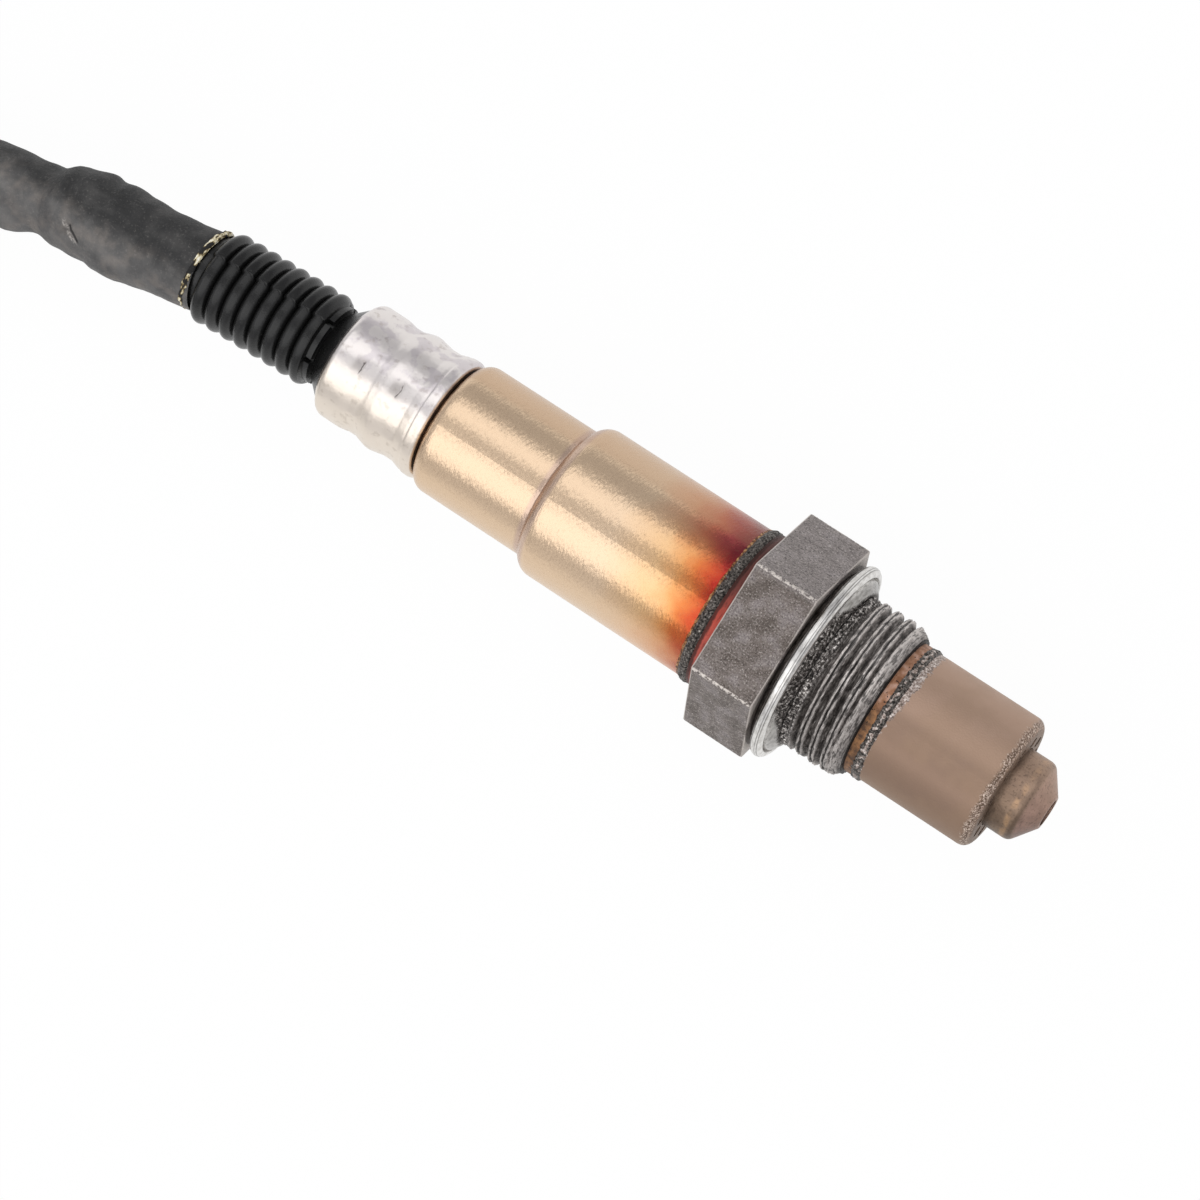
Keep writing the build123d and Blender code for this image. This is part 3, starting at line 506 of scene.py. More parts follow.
def lead_surface(place, distance, turn):
    """Radius of the sleeving, where turn runs from straight up (0) through its +Y side (90)."""
    left = smooth(0, 1, (1 + sin(radians(turn))) / 2)
    radius = left * bulge_at(left_bulges, distance) + (1 - left) * bulge_at(right_bulges, distance)
    if distance < loose_end:
        fold = (distance - fold_at - (turn - 45) * 0.02) / fold_half
        radius -= fold_dip * bell(fold) * smooth(100, 60, abs(turn - fold_turn))
        for middle, half_length, depth in scuff_ridges:
            beside = (distance - middle + (turn - scuff_turn) * 0.05) / half_length
            radius -= depth * bell(hypot(beside, (turn - scuff_turn) / 10))
        pinch = hypot((distance - pinch_at) / pinch_half, (turn - pinch_turn) / 45)
        radius -= pinch_dip * bell(pinch)
    calm = smooth(0, 4, distance - hidden_start)
    swell = 0.14 * lumps(place, 4.5, 2) + 0.06 * lumps(place, 1.6, 2)
    swell += 0.015 * lumps(place, 0.45, 2)
    return radius + calm * swell * (1 if distance < loose_end else 0.4)


lead_segments = 120
side_way = Vector((0, 0, 1))
lead_points = []
for i, centre in enumerate(lead_path):
    before, after = lead_path[max(i - 1, 0)], lead_path[min(i + 1, len(lead_path) - 1)]
    ahead = (after - before).normalized()
    side_way = (side_way - ahead * side_way.dot(ahead)).normalized()
    cross_way = ahead.cross(side_way)
    for k in range(lead_segments):
        turn = 360 * k / lead_segments
        out = side_way * cos(radians(turn)) + cross_way * sin(radians(turn))
        place = centre / MM + out * lead_r
        turn = turn if turn <= 180 else turn - 360
        lead_points.append((centre / MM + out * lead_surface(place, lead_steps[i], turn)) * MM)
lead = make_piece("lead", lead_points, grid_faces(len(lead_path), lead_segments, False), 180)
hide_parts("lead_sleeve", "lead_hank", "lead_tail")

plug_nodes = ["rear_cap", "plug_housing", "terminal_lock", "wire_seal", "face_seal"]
plug_nodes += ["trim_resistor"] + [f"plug_terminal_{n}" for n in range(1, 7)]
plug_nodes += [f"plug_wire_{n}" for n in range(1, 6)]

# ------ frayed rim of the sleeving

rim_drift, rim_ragged = -0.47, 0.10


def rim_shape(station, radius, angle):
    """Ragged ends of the glass fibre."""
    point = around(station, radius, angle)
    return station + rim_ragged * lumps(point, 0.8), radius + rim_ragged * lumps(point, 0.7)


rim_section = [(0.4, 4.4), (0.42, 4.5), (0.3, 4.66), (0.1, 4.76), (-0.2, 4.74), (-0.2, 4.4)]
rim_rings = fine([(boot_end + along, radius) for along, radius in rim_section], 0.1)
rim = lathe("frayed_rim", rim_rings, 360, rim_shape, sharp=80, drift=lambda station: rim_drift)

# ------ material helpers


def srgb(red, green, blue):
    """Linear colour from the 0 to 255 values that it shows on a screen."""
    linear = []
    for share in (red / 255, green / 255, blue / 255):
        linear.append(share / 12.92 if share <= 0.04045 else ((share + 0.055) / 1.055) ** 2.4)
    return (*linear, 1)


class Nodes:
    """Short ways to add nodes to a tree. A colour of three values is given as a screen shows it."""

    def __init__(self, tree):
        self.tree = tree

    def node(self, kind, *values, **settings):
        """New node with its first inputs linked or set."""
        made = self.tree.nodes.new("ShaderNode" + kind)
        for setting, value in settings.items():
            setattr(made, setting, value)
        for socket, value in zip(made.inputs, values):
            self.feed(socket, value)
        return made

    def feed(self, socket, value):
        """Links an input to a socket, or sets it to a number or a colour."""
        if isinstance(value, bpy.types.NodeSocket):
            self.tree.links.new(value, socket)
        else:
            is_screen_colour = socket.type == "RGBA" and len(value) == 3
            socket.default_value = srgb(*value) if is_screen_colour else value

    def math(self, operation, *values):
        """Result of a math node."""
        return self.node("Math", *values, operation=operation).outputs[0]

    def scaled(self, value, factor, offset):
        """The value times the factor, plus the offset."""
        return self.math("MULTIPLY_ADD", value, factor, offset)

    def step(self, value, low, high):
        """0 below low, 1 above high, soft between."""
        limits = (value, low, high, 0.0, 1.0)
        return self.node("MapRange", *limits, interpolation_type="SMOOTHSTEP").outputs[0]

    def both(self, *shares):
        """The product of several shares."""
        product = shares[0]
        for share in shares[1:]:
            product = self.math("MULTIPLY", product, share)
        return product

    def between(self, value, low, high, soft):
        """1 between low and high, 0 beyond them by more than soft."""
        return self.both(self.step(value, low - soft, low), self.step(value, high + soft, high))

    def ramp(self, value, *stops):
        """Colour along a value, from (value, colour) stops."""
        low, high = stops[0][0], stops[-1][0]
        share = self.node("MapRange", value, low, high, 0.0, 1.0).outputs[0]
        made = self.node("ValToRGB", share)
        bar = made.color_ramp.elements
        while len(bar) < len(stops):
            bar.new(0.5)
        for mark, (place, colour) in zip(bar, stops):
            mark.position = (place - low) / (high - low)
            mark.color = srgb(*colour) if len(colour) == 3 else colour
        return made.outputs[0]

    def mix(self, share, first, second):
        """The first colour, turning into the second as the share goes to 1."""
        made = self.node("Mix", data_type="RGBA")
        for place, value in ((0, share), (6, first), (7, second)):
            self.feed(made.inputs[place], value)
        return made.outputs[2]

    def paint(self, base, colour, *shares):
        """The base with a colour over it, as thick as the product of the shares."""
        return self.mix(self.both(*shares), base, colour)


class Look(Nodes):
    """A material on one Principled shader, laid out along the sensor's axis in millimetres."""

    def __init__(self, name, **sockets):
        self.material = bpy.data.materials.new(name)
        self.material.use_nodes = True
        super().__init__(self.material.node_tree)
        self.shader = self.tree.nodes["Principled BSDF"]
        for socket, value in sockets.items():
            self.shader.inputs[socket.replace("_", " ")].default_value = value
        coords = self.node("TexCoord")
        mapping = self.node("Mapping", coords.outputs["Object"])
        mapping.inputs["Location"].default_value = (-face_x, 0, -axis_z)
        mapping.inputs["Scale"].default_value = (1 / MM,) * 3
        self.place = mapping.outputs[0]
        parts = self.node("SeparateXYZ", self.place)
        self.station, self.y, self.z = parts.outputs
        square = self.scaled(self.z, self.z, self.math("MULTIPLY", self.y, self.y))
        self.reach = self.math("SQRT", square)

    def grain(self, size, detail=3, stretch=(1, 1, 1), rough=0.5):
        """Noise between 0 and 1 whose lumps have that size in millimetres."""
        factors = tuple(1 / (size * share) for share in stretch)
        scaled = self.node("VectorMath", self.place, factors, operation="MULTIPLY")
        made = self.node("TexNoise", scaled.outputs[0])
        made.inputs["Scale"].default_value = 1
        made.inputs["Detail"].default_value = detail
        made.inputs["Roughness"].default_value = rough
        return made.outputs["Fac"]

    def finish(self, colour, roughness, height, depth):
        """Feeds the shader its colour, roughness and bumps of that depth in millimetres."""
        self.feed(self.shader.inputs["Base Color"], colour)
        self.feed(self.shader.inputs["Roughness"], roughness)
        bump = self.node("Bump")
        bump.inputs["Strength"].default_value = 1.0
        bump.inputs["Distance"].default_value = depth * MM
        self.feed(bump.inputs["Height"], height)
        self.tree.links.new(bump.outputs[0], self.shader.inputs["Normal"])
        return self.material


# ------ materials


def hexagon_colour(look, speck, fleck, mottle):
    """Speckled grey faces with pale worn corners and rims, and painted light on the faces towards
    +Y.
    """
    tones = (0.36, (98, 89, 83)), (0.5, (120, 111, 106)), (0.64, (136, 128, 126))
    colour = look.ramp(mottle, *tones)
    # Painted light: the faces towards +Y are made paler.
    colour = look.paint(colour, (176, 169, 168), look.step(look.y, 5.4, 6.6), 0.45)
    colour = look.paint(colour, (170, 162, 156), look.step(fleck, 0.52, 0.7), 0.5)
    colour = look.paint(colour, (50, 45, 42), look.step(speck, 0.49, 0.36), 0.75)
    brushed = look.grain(0.22, 4, stretch=(9, 1, 1), rough=0.6)
    colour = look.paint(colour, (66, 60, 56), look.step(brushed, 0.5, 0.36), 0.35)
    colour = look.paint(colour, (206, 199, 193), look.step(speck, 0.56, 0.66), 0.65)
    chips = look.step(look.grain(0.4, 4, rough=0.7), 0.42, 0.56)
    corner = look.both(look.step(look.reach, 12.56, 12.61), chips)
    at_rear = look.step(look.station, hex_rear + 0.2, hex_rear + 0.1)
    rear_rim = look.both(look.step(look.reach, 10.4, 10.6), at_rear, 0.8)
    at_front = look.step(look.station, -0.2, -0.1)
    front_rim = look.both(look.step(look.reach, 10.9, 11.0), at_front, 0.6)
    worn = look.math("MAXIMUM", corner, look.math("MAXIMUM", rear_rim, front_rim))
    return look.paint(colour, (224, 216, 208), worn, 0.85)


def thread_colour(look):
    """Pale crests and dark roots as painted light and shade, a painted dark crevice in each root,
    painted light on the +Y side and shade on the -Y side, and packed grit beside the sealing ring.
    """
    grit = look.grain(0.3, 5, rough=0.7)
    streak = look.grain(0.17, 4, stretch=(1, 7, 7), rough=0.6)
    crest = look.math("ADD", look.reach, look.scaled(grit, 0.9, -0.45))
    chamfer = look.math("MAXIMUM", look.math("SUBTRACT", look.station, chamfer_start), 0.0)
    crest = look.scaled(chamfer, 0.2, crest)
    # Painted light and shade: by radius, dark in the roots and pale on the crests.
    roots, flanks = (8.1, (62, 58, 56)), (8.45, (112, 106, 102))
    colour = look.ramp(crest, roots, flanks, (8.7, (160, 153, 149)), (8.95, (214, 207, 202)))
    colour = look.paint(colour, (40, 37, 35), look.step(streak, 0.52, 0.4), 0.8)
    colour = look.paint(colour, (214, 208, 203), look.step(streak, 0.56, 0.66), 0.45)
    turns = look.math("MULTIPLY", look.math("ARCTAN2", look.z, look.y), -0.5 / pi)
    along = look.scaled(look.station, 1 / thread_pitch, 5 + thread_phase - 0.5)
    turns = look.math("FRACT", look.math("ADD", along, turns))
    from_crest = look.math("ABSOLUTE", look.math("SUBTRACT", turns, 0.5))
    beside_root = look.math("SUBTRACT", 0.5, from_crest)
    beside_root = look.math("ADD", beside_root, look.scaled(look.grain(0.9, 3), 0.12, -0.06))
    threaded = look.step(look.station, thread_end - 1.1, thread_end - 1.3)
    # Painted shade: a near-black line along the crevice in each root.
    crevice = look.both(look.step(beside_root, 0.09, 0.05), threaded)
    colour = look.paint(colour, (18, 17, 16), crevice, 0.9)
    # Painted shade on the -Y side and painted light on the +Y side.
    colour = look.paint(colour, (50, 44, 40), look.step(look.y, 2.0, -1.5), 0.34)
    colour = look.paint(colour, (200, 194, 190), look.step(look.y, 2.5, 5.0), 0.14)
    packed = look.step(look.station, grit_start + 1.25, grit_start + 0.75)
    dark, light = (0.4, (14, 13, 12)), (0.62, (240, 235, 230))
    dirt = look.ramp(grit, dark, (0.47, (80, 75, 72)), (0.54, (128, 122, 118)), light)
    return look.mix(packed, colour, dirt)


def pilot_colour(look):
    """Coppery pilot band, redder on its +Y side and browner and darker on its -Y side, a tint with
    painted shade over it, with dark pits.
    """
    pit = look.step(look.grain(0.42, 2), 0.64, 0.68)
    tones = (0.35, (134, 92, 66)), (0.5, (160, 118, 92)), (0.65, (186, 150, 132))
    colour = look.ramp(look.grain(0.9, 4), *tones)
    # Browner tint towards -Y, where painted shade also darkens it.
    brown = look.ramp(look.grain(0.7, 4), (0.36, (84, 60, 44)), (0.64, (150, 108, 72)))
    colour = look.mix(look.step(look.y, 1.2, -0.5), colour, brown)
    return look.mix(pit, colour, (40, 30, 25))


def collar_tint(look):
    """Red heat tint of the hexagon's rear face and the collar, dark beside the weld."""
    stain_and_shade = look.scaled(look.grain(0.9, 4), 3.0, look.y)
    low, middle = (-7, (130, 66, 56)), (0.5, (182, 78, 64))
    high, top = (4.5, (112, 62, 56)), (9, (92, 56, 52))
    colour = look.ramp(stain_and_shade, low, (-4.0, (186, 92, 80)), middle, high, top)
    streaks = look.grain(0.2, 3, stretch=(1, 6, 6))
    colour = look.paint(colour, (60, 34, 30), look.step(streaks, 0.48, 0.38), 0.4)
    edge = look.scaled(look.grain(0.5, 4), 0.3, look.station)
    return look.paint(colour, (56, 30, 25), look.step(edge, -8.15, -8.35), 0.85)


def body_steel():
    """Hexagon, thread, pilot band and the heat-tinted rear of the body, one after another."""
    look = Look("body_steel", Metallic=0.6)
    speck = look.grain(0.2, 4, rough=0.75)
    fleck = look.grain(0.5, 4, rough=0.75)
    mottle = look.grain(2.2, 5)
    base = hexagon_colour(look, speck, fleck, mottle)
    base = look.mix(look.step(look.station, 0.02, 0.1), base, thread_colour(look))
    band = look.between(look.station, last_crest_end + 0.12, pilot_end + 0.2, 0.08)
    # Painted shade: a dark line in the gap between the last crest and the pilot band.
    shade_gap = look.between(look.station, last_crest_end - 0.09, last_crest_end + 0.06, 0.05)
    base = look.mix(band, look.mix(shade_gap, base, (24, 21, 19)), pilot_colour(look))
    rear = look.step(look.station, hex_rear - 0.02, hex_rear - 0.12)
    base = look.mix(rear, base, collar_tint(look))
    height = look.scaled(fleck, 0.6, look.both(mottle, 0.4))
    height = look.math("ADD", height, look.both(speck, 0.5))
    return look.finish(base, look.scaled(fleck, 0.2, 0.42), height, 0.1)


def weld():
    """Dark lumpy bead with light specks, the palest of them painted glints, and brownish gold
    edges.
    """
    look = Look("weld", Metallic=0.7)
    speck = look.grain(0.26, 5, rough=0.75)
    # The palest specks are painted glints on the lumps.
    dark, light = (0.4, (20, 19, 18)), (0.69, (236, 232, 226))
    colour = look.ramp(speck, dark, (0.49, (84, 79, 75)), (0.59, (128, 121, 115)), light)
    before = collar_end + 0.25
    ragged = look.scaled(look.grain(0.5, 4), 0.3, look.math("ADD", look.station, -0.15))
    rear_toe = look.step(ragged, bead_rear + 0.3, bead_rear + 0.16)
    toes = look.math("MAXIMUM", rear_toe, look.step(ragged, before - 0.26, before - 0.12))
    tones = (0.38, (70, 42, 28)), (0.5, (150, 100, 62)), (0.64, (206, 164, 112))
    gold = look.ramp(look.grain(0.35, 4), *tones)
    colour = look.paint(colour, gold, toes, look.step(look.station, 0, -1))
    height = look.grain(0.24, 5, rough=0.75)
    return look.finish(colour, look.scaled(speck, -0.3, 0.6), height, 0.2)


def ring_steel():
    """Bright rolled strip with painted shade on its inner curl and in its grooves, and grit against
    the thread.
    """
    look = Look("ring_steel", Metallic=1.0)
    outer = look.step(look.reach, 10.6, 10.9)
    side = look.step(look.math("ABSOLUTE", look.y), 5.0, 8.5)
    brushed = look.grain(0.2, 4, stretch=(1, 4, 4))
    satin = look.ramp(brushed, (0.38, (150, 147, 143)), (0.62, (206, 203, 199)))
    edge = look.scaled(look.grain(0.45, 5, rough=0.7), 1.4, -0.7)
    edge = look.math("ADD", look.scaled(side, 1.3, look.reach), edge)
    dark, light = (0.4, (14, 13, 12)), (0.63, (236, 231, 226))
    speck = look.grain(0.32, 5, rough=0.75)
    grit = look.ramp(speck, dark, (0.48, (72, 68, 65)), (0.55, (116, 110, 106)), light)
    # Painted shade: the inner curl is darkened.
    satin = look.paint(satin, (84, 80, 77), look.step(look.reach, 10.55, 10.0), 0.45)
    covered = look.both(look.step(edge, 10.75, 10.35), look.step(look.station, 1.2, 1.5))
    shade_and_grit = look.mix(covered, satin, grit)
    bright = look.ramp(brushed, (0.38, (196, 193, 189)), (0.62, (228, 226, 223)))
    colour = look.mix(outer, shade_and_grit, bright)
    # Painted shade: dark lines where the strip's grooves lie.
    for station, width, share in ((0.87, 0.06, 0.85), (1.42, 0.025, 0.6), (1.64, 0.025, 0.6)):
        line = look.between(look.station, station - width, station + width, 0.04)
        colour = look.paint(colour, (56, 54, 52), outer, line, share)
    rough = look.scaled(covered, 0.25, look.scaled(brushed, 0.2, 0.2))
    height = look.scaled(brushed, 0.3, look.both(covered, look.grain(0.28, 5, rough=0.7)))
    return look.finish(colour, rough, height, 0.12)


def tube_steel():
    """Brown heat-stained cup with painted light on its +Y side and painted shade across its middle
    and on its front face, speckled at the shoulder, where it also paints a highlight, and by the
    weld.
    """
    look = Look("tube_steel", Metallic=0.75)
    cloud = look.grain(5, 3)
    # Painted light and shade: paler towards +Y and darker across the middle.
    base = look.mix(look.step(look.y, -7.0, 7.5), (138, 114, 97), (182, 154, 135))
    base = look.paint(base, (104, 84, 70), look.between(look.y, -1.4, 0.4, 1.6), 0.32)
    base = look.paint(base, (158, 132, 108), look.step(cloud, 0.4, 0.6), 0.25)
    speckle = look.grain(0.2, 4, rough=0.7)
    # A speckled band along the shoulder, which also paints its highlight.
    ragged = look.scaled(look.grain(0.8, 4), 1.2, look.math("ADD", look.station, -0.6))
    shoulder = look.between(ragged, tube_end - 0.4, tube_end - 0.1, 0.5)
    tones = (0.42, (58, 46, 38)), (0.5, (124, 102, 88)), (0.62, (238, 222, 208))
    base = look.paint(base, look.ramp(speckle, *tones), shoulder, 0.75)
    # Painted shade on the front face, in the corner by the nozzle.
    face = look.step(look.station, tube_end, tube_end + 0.15)
    base = look.paint(base, (96, 80, 67), face, 0.6)
    edge = look.scaled(look.step(look.y, -3.0, 3.5), 0.85, pilot_end + 0.1)
    edge = look.scaled(look.grain(0.5, 5, rough=0.65), 1.6, edge)
    near_weld = look.step(look.math("SUBTRACT", edge, look.station), -0.12, 0.12)
    tones = (0.38, (86, 78, 74)), (0.5, (160, 146, 139)), (0.64, (240, 233, 228))
    silver = look.ramp(look.grain(0.26, 4, rough=0.7), *tones)
    base = look.paint(base, silver, near_weld, 0.85)
    height = look.math("ADD", look.grain(0.22, 3), look.both(near_weld, look.grain(0.26, 4)))
    return look.finish(base, look.scaled(look.grain(1.2, 3), 0.1, 0.5), height, 0.03)


def nozzle_steel():
    """Golden brown nozzle with a painted highlight ring and a dark ring before its pinkish cone,
    painted light on its +Y side, and painted shade on its -Y side and at its foot.
    """
    look = Look("nozzle_steel", Metallic=0.85)
    cloud = look.step(look.grain(1.3, 5), 0.35, 0.65)
    base = look.mix(cloud, (110, 92, 77), (138, 117, 98))
    # Painted highlight: a bright golden ring before the cone.
    patches = look.step(look.grain(0.9, 5), 0.34, 0.66)
    bright = look.both(look.between(look.station, 26.95, 27.2, 0.35), patches)
    base = look.paint(base, (206, 166, 124), bright, 0.55)
    base = look.paint(base, (82, 66, 54), look.between(look.station, 27.75, 27.95, 0.2), 0.6)
    pink = look.mix(cloud, (124, 98, 88), (154, 124, 112))
    base = look.mix(look.step(look.station, 27.9, 28.3), base, pink)
    # Painted light on the +Y side and painted shade on the -Y side.
    base = look.paint(base, (190, 161, 141), look.step(look.y, -4.0, 4.0), 0.55)
    base = look.paint(base, (84, 68, 56), look.step(look.y, 0.5, -4.0), 0.25)
    # Painted shade at the nozzle's foot, in the corner by the tube's face.
    foot = look.step(look.station, tube_end + 1.0, tube_end + 0.25)
    base = look.paint(base, (84, 70, 58), foot, 0.6)
    speck = look.grain(0.25, 3)
    base = look.paint(base, (80, 66, 56), look.step(speck, 0.46, 0.34), 0.4)
    return look.finish(base, look.scaled(cloud, 0.08, 0.42), speck, 0.05)


def sleeve_steel():
    """Stainless sheet, straw coloured, with heat tints behind the weld, and painted shade on its
    step, towards its +Y edge and at its rear end.
    """
    look = Look("sleeve_steel", Metallic=1.0)
    drift = look.scaled(look.grain(2.6, 4), 3.4, -1.7)
    back = look.math("SUBTRACT", collar_end - 0.5, look.math("ADD", look.station, drift))
    back = look.scaled(look.step(look.y, -2.0, 2.5), -1.2, back)
    tan_colour = (222, 195, 165)
    warm = [(0, (170, 52, 42)), (1.0, (190, 82, 50)), (2.4, (204, 118, 66))]
    warm += [(4.0, (216, 154, 98)), (6.5, (222, 182, 136)), (12, tan_colour)]
    cold = [(0, (124, 50, 58)), (1.6, (160, 74, 74)), (3.6, (190, 112, 88))]
    cold += [(6.5, (212, 164, 130)), (11, tan_colour)]
    low = [(0, (164, 84, 62)), (1.4, (200, 132, 96)), (3.6, (216, 166, 128))]
    low += [(7, (224, 188, 154)), (11, tan_colour)]
    base = look.mix(look.step(look.y, 2.6, 6.4), look.ramp(back, *warm), look.ramp(back, *cold))
    base = look.mix(look.step(look.y, -4.6, -7.4), base, look.ramp(back, *low))
    # Painted shade: a pinkish band over the step.
    base = look.paint(base, (190, 164, 154), look.between(look.station, -31.5, -30.3, 0.5), 0.6)
    base = look.paint(base, (206, 180, 156), look.step(look.station, -43.8, -45.2), 0.35)
    freckle = look.grain(0.22, 4, rough=0.7)
    base = look.paint(base, (150, 116, 88), look.step(freckle, 0.5, 0.36), 0.14)
    # Painted shade: darker where the surface turns towards +Y.
    painted_shade_side = look.step(look.math("DIVIDE", look.y, look.reach), 0.72, 0.8)
    base = look.paint(base, (150, 112, 88), painted_shade_side, 0.3)
    # Painted shade: dark at the rear end, in the gap by the collar.
    base = look.paint(base, (70, 50, 36), look.step(look.station, sleeve_end + 0.12, sleeve_end))
    crinkle = look.grain(0.2, 2, stretch=(0.9, 4, 4))
    return look.finish(base, look.scaled(freckle, 0.12, 0.22), crinkle, 0.065)


def collar_steel():
    """Bright soft sheet with violet clouds and smudges, and painted shade beside and along the
    creases by the grooves.
    """
    look = Look("collar_steel", Metallic=1.0)
    cloud = look.grain(1.8, 4)
    base = look.mix(look.step(look.y, -2.5, 1.0), (230, 219, 206), (228, 222, 219))
    violet = look.both(look.step(cloud, 0.48, 0.58), look.step(look.y, -0.5, 2.0))
    base = look.paint(base, (196, 188, 194), violet, 0.5)
    base = look.paint(base, (164, 152, 138), look.step(look.grain(0.9, 5), 0.56, 0.7), 0.3)
    top = look.step(look.z, 0, 1)
    for groove in (shallow_groove, deep_groove - 0.3):
        # Painted shade: a grey patch beside each crease and a dark line along it.
        stain_and_shade = look.both(top, look.between(look.station, groove - 1.6, groove - 1.1, 0.7))
        base = look.paint(base, (132, 124, 118), stain_and_shade, look.between(look.y, 0.4, 1.0, 1.0), 0.4)
        bent = look.scaled(look.grain(0.7, 3), 0.5, look.math("ADD", look.station, -0.25))
        crease_shade = look.both(top, look.between(bent, groove - 0.98, groove - 0.94, 0.06))
        base = look.paint(base, (66, 60, 56), crease_shade, look.between(look.y, 0.1, 1.0, 0.5), 0.75)
    height = look.scaled(look.grain(0.35, 3), 0.15, look.grain(1.4, 4))
    return look.finish(base, look.scaled(cloud, 0.12, 0.27), height, 0.04)


def boot_rubber():
    """Black glossy rubber with a little dust."""
    look = Look("boot_rubber", Specular_IOR_Level=0.4)
    dust = look.step(look.grain(0.3, 5, rough=0.7), 0.6, 0.72)
    base = look.paint((14, 14, 14), (90, 90, 88), dust, 0.25)
    return look.finish(base, look.scaled(look.grain(1.2, 4), 0.2, 0.18), look.grain(0.25, 3), 0.02)


# The scuff that is painted on the lead: its station and side, and the way of its crease.
scuff_station, scuff_y, scuff_cos, scuff_sin = -91.2, -4.6, 0.8, 0.6


def lead_sleeving():
    """Coated glass fibre: painted shade on the +Y side, painted light and dust on the other, with a
    scuff near the boot and painted shade in its crease.
    """
    look = Look("lead_sleeving", Roughness=0.7, Specular_IOR_Level=0.35)
    cloud = look.grain(2.6, 4)
    # Painted light and shade: a shaded copy of the colour on the +Y side and a lit copy on the -Y
    # side.
    shaded_tones = look.ramp(cloud, (0.3, (30, 30, 30)), (0.5, (42, 42, 42)), (0.7, (66, 65, 64)))
    lit_tones = look.ramp(cloud, (0.3, (72, 71, 71)), (0.5, (88, 87, 86)), (0.7, (106, 104, 102)))
    painted_light_side = look.step(look.scaled(look.grain(2.2, 3), 3.0, look.y), 0.6, -2.6)
    base = look.mix(painted_light_side, shaded_tones, lit_tones)
    dust = look.both(look.step(look.grain(1.9, 5), 0.44, 0.7), look.step(look.y, -0.6, -3.2))
    base = look.paint(base, (134, 125, 117), dust, 0.34)
    pale = look.step(look.grain(0.3, 4, rough=0.75), 0.54, 0.68)
    base = look.paint(base, (156, 151, 146), pale, 0.16)
    start = -scuff_sin * scuff_station - scuff_cos * scuff_y
    across = look.scaled(look.y, scuff_cos, look.scaled(look.station, scuff_sin, start))
    start = -scuff_cos * scuff_station + scuff_sin * scuff_y
    along = look.scaled(look.y, -scuff_sin, look.scaled(look.station, scuff_cos, start))
    top = look.step(look.z, 0, 1)
    frayed = look.both(look.between(across, -0.6, -0.24, 0.16), look.between(along, -1.5, 0.9, 0.5))
    threads = look.step(look.grain(0.3, 4, rough=0.7), 0.44, 0.6)
    base = look.paint(base, (186, 180, 174), top, frayed, threads, 0.6)
    # Painted shade: a dark line along the scuff's crease.
    crease_shade = look.both(look.between(across, -0.08, 0.1, 0.1), look.between(along, -0.8, 0.9, 0.4))
    base = look.paint(base, (20, 19, 19), top, crease_shade, 0.85)
    weave = look.scaled(look.grain(1.4, 3), 1.2, look.grain(0.3, 4, rough=0.7))
    return look.finish(base, look.scaled(cloud, 0.2, 0.5), weave, 0.1)


def frayed_fibre():
    """Cut fibres, pale in patches, with a band of painted shade at one side where the fibre is
    missing.
    """
    look = Look("frayed_fibre")
    patch = look.grain(0.5, 4, stretch=(0.7, 1.8, 1.8))
    dark, light = (0.44, (22, 20, 18)), (0.66, (250, 246, 230))
    base = look.ramp(patch, dark, (0.49, (110, 92, 56)), (0.55, (206, 194, 156)), light)
    # Painted shade: a dark band across one side of the rim.
    shade_gap = look.between(look.scaled(look.grain(0.6, 2), 0.8, look.y), -1.0, 0.0, 0.15)
    base = look.mix(shade_gap, base, (14, 13, 12))
    return look.finish(base, 0.8, look.grain(0.18, 3), 0.1)


def plain(name, colour, other, roughness, size=0.6, depth=0.015, metallic=0.0):
    """Moulded, fired or extruded material with faint cloud and grain."""
    look = Look(name, Metallic=metallic)
    base = look.mix(look.grain(size * 4, 3), colour, other)
    rough = look.scaled(look.grain(size * 2, 3), 0.12, roughness - 0.06)
    return look.finish(base, rough, look.grain(size, 3), depth)


looks = {
    "body_steel": body_steel(),
    "ring_steel": ring_steel(),
    "tube_steel": tube_steel(),
    "nozzle_steel": nozzle_steel(),
    "sleeve_steel": sleeve_steel(),
    "collar_steel": collar_steel(),
    "boot_rubber": boot_rubber(),
    "lead_sleeving": lead_sleeving(),
}
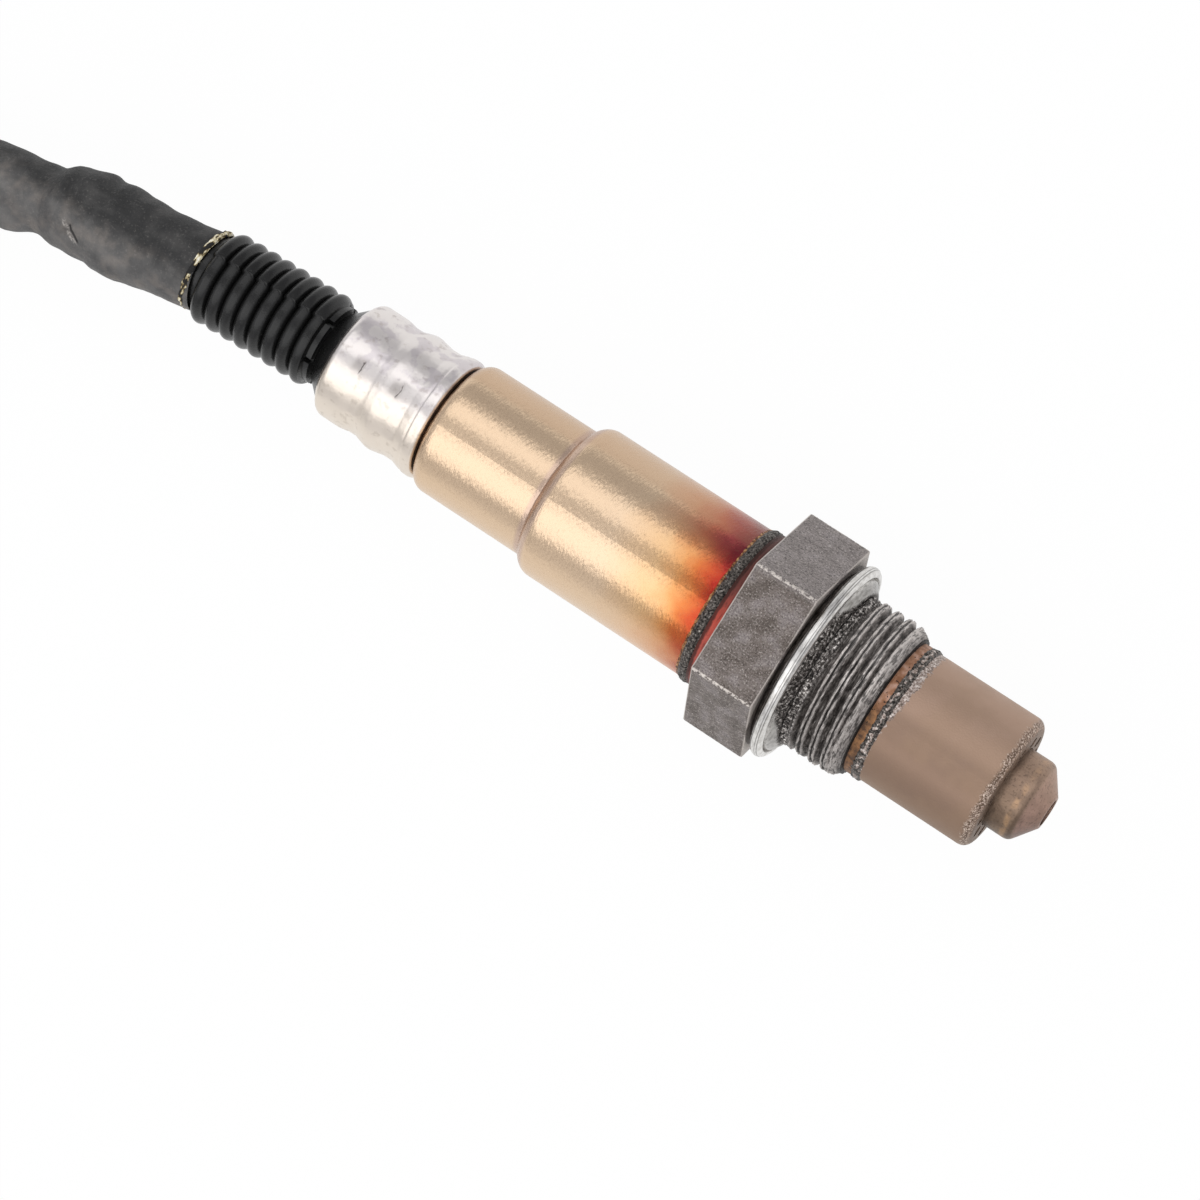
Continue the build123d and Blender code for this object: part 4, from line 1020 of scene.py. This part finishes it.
# Hidden and unseen pieces: two close colours, roughness, grain size, bump depth and metal.
for name, *values in (
    ("clip_steel", (190, 188, 184), (168, 166, 162), 0.35, 0.6, 0.015, 1.0),
    ("contact_metal", (206, 200, 184), (186, 180, 164), 0.3, 0.6, 0.015, 1.0),
    ("terminal_metal", (214, 204, 178), (196, 184, 156), 0.3, 0.6, 0.015, 1.0),
    ("element_ceramic", (238, 236, 230), (226, 223, 216), 0.45, 0.3),
    ("insulator_ceramic", (238, 230, 214), (226, 217, 200), 0.6, 0.3, 0.02),
    ("resistor_ceramic", (226, 224, 216), (212, 210, 202), 0.5, 0.2),
    ("packed_powder", (216, 213, 206), (196, 193, 186), 0.85, 0.2, 0.05),
    ("grommet_rubber", (46, 46, 48), (38, 38, 40), 0.55),
    ("seal_rubber", (138, 144, 150), (124, 130, 136), 0.5),
    ("tie_plastic", (34, 34, 35), (28, 28, 29), 0.4, 0.3),
    ("plug_plastic", (40, 40, 42), (33, 33, 35), 0.45, 0.25, 0.02),
    ("lock_plastic", (198, 198, 192), (186, 186, 180), 0.45, 0.3),
    ("wire_yellow", (224, 196, 60), (212, 184, 52), 0.4),
    ("wire_red", (190, 42, 36), (176, 36, 32), 0.4),
    ("wire_white", (232, 232, 228), (220, 220, 216), 0.4),
    ("wire_grey", (132, 133, 135), (122, 123, 125), 0.4),
    ("wire_black", (36, 36, 36), (30, 30, 30), 0.4),
):
    looks[name] = plain(name, *values)

for entry in frame["record"]["subparts"]:
    data = nodes[entry["node"]].data
    data.materials.clear()
    data.materials.append(looks[entry["material_slot"]])
weld_look = weld()
for piece, look in (
    (threaded_body, looks["body_steel"]),
    (front_bead, weld_look),
    (rear_bead, weld_look),
    (crimped_collar, looks["collar_steel"]),
    (boot, looks["boot_rubber"]),
    (lead, looks["lead_sleeving"]),
    (rim, frayed_fibre()),
):
    piece.data.materials.append(look)

# ------ floor, light and camera

# The floor takes the sensor's shadow, and looks nearly white to the camera and in the metal.
floor_half, floor_depth, floor_white, floor_grey = 2.0, 0.0001, 0.97, (0.85, 0.85, 0.85, 1)
floor_mesh = bpy.data.meshes.new("floor")
corners = [(x * floor_half, y * floor_half, 0) for x, y in ((-1, -1), (1, -1), (1, 1), (-1, 1))]
floor_mesh.from_pydata(corners, [], [(0, 1, 2, 3)])
floor = bpy.data.objects.new("floor", floor_mesh)
floor.location.z = -floor_depth
link(floor)

floor_look = bpy.data.materials.new("white_floor")
floor_look.use_nodes = True
floor_look.node_tree.nodes.clear()
ground = Nodes(floor_look.node_tree)
ray = ground.node("LightPath").outputs
seen = ground.math("MAXIMUM", ray["Is Camera Ray"], ray["Is Glossy Ray"])
matte = ground.node("BsdfDiffuse", floor_grey).outputs[0]
glow = ground.node("Emission").outputs[0]
share = ground.math("MULTIPLY", seen, floor_white)
blend = ground.node("MixShader", share, matte, glow).outputs[0]
ground.node("OutputMaterial", blend)
floor_mesh.materials.append(floor_look)

# Grey walls, lighter low on the -Y side: (direction's Y, level), with a trace of blue.
wall_levels = [(-1, 0.8), (-0.93, 0.8), (-0.9, 0.54), (-0.85, 0.54), (-0.8, 0.64)]
wall_levels += [(-0.1, 0.64), (0.2, 0.58), (0.75, 0.52), (0.84, 0.52), (1, 0.52)]
wall_blue = 1.03
world = bpy.data.worlds.new("studio")
world.use_nodes = True
bpy.context.scene.world = world
walls = Nodes(world.node_tree)
way = walls.node("TexCoord").outputs["Generated"]
side = walls.node("SeparateXYZ", way).outputs[1]
greys = [(y, (level, level, level * wall_blue, 1)) for y, level in wall_levels]
walls.feed(world.node_tree.nodes["Background"].inputs["Color"], walls.ramp(side, *greys))


def softbox(name, tilt, width, brightness, distance=0.60, length=1.6):
    """Area lamp over the sensor, tilted from straight above towards +Y, aimed at its middle."""
    lamp = bpy.data.lights.new(name, "AREA")
    lamp.shape = "RECTANGLE"
    lamp.size, lamp.size_y = length, width
    lamp.energy = brightness * pi * width * length
    carrier = bpy.data.objects.new(name, lamp)
    away = Vector((0, sin(radians(tilt)), cos(radians(tilt))))
    place = Matrix.Translation(at(-20, 0, 0) + away * distance)
    carrier.matrix_world = place @ Matrix.Rotation(radians(-tilt), 4, "X")
    link(carrier)


softbox("softbox_front", -32, 0.54, 1.04)
softbox("softbox_back", 31, 0.36, 0.88)

# The camera that was fitted to the photograph: its place is in millimetres from the hexagon.
image_width, focal_px, sensor_width = 1200, 4147.7, 36
camera_place = (72.43, 44.85, 420.39)
right = Vector((0.81592, 0.52278, -0.24692))
up = Vector((-0.53601, 0.84406, 0.01586))
camera_data = bpy.data.cameras.new("camera")
camera_data.sensor_width = sensor_width
camera_data.lens = focal_px / image_width * sensor_width
camera_data.clip_start = 0.01
camera = bpy.data.objects.new("camera", camera_data)
facing = Matrix((right, up, right.cross(up))).transposed().to_4x4()
camera.matrix_world = Matrix.Translation(at(*camera_place)) @ facing
link(camera)
bpy.context.scene.camera = camera
bpy.context.scene.view_settings.view_transform = "Standard"
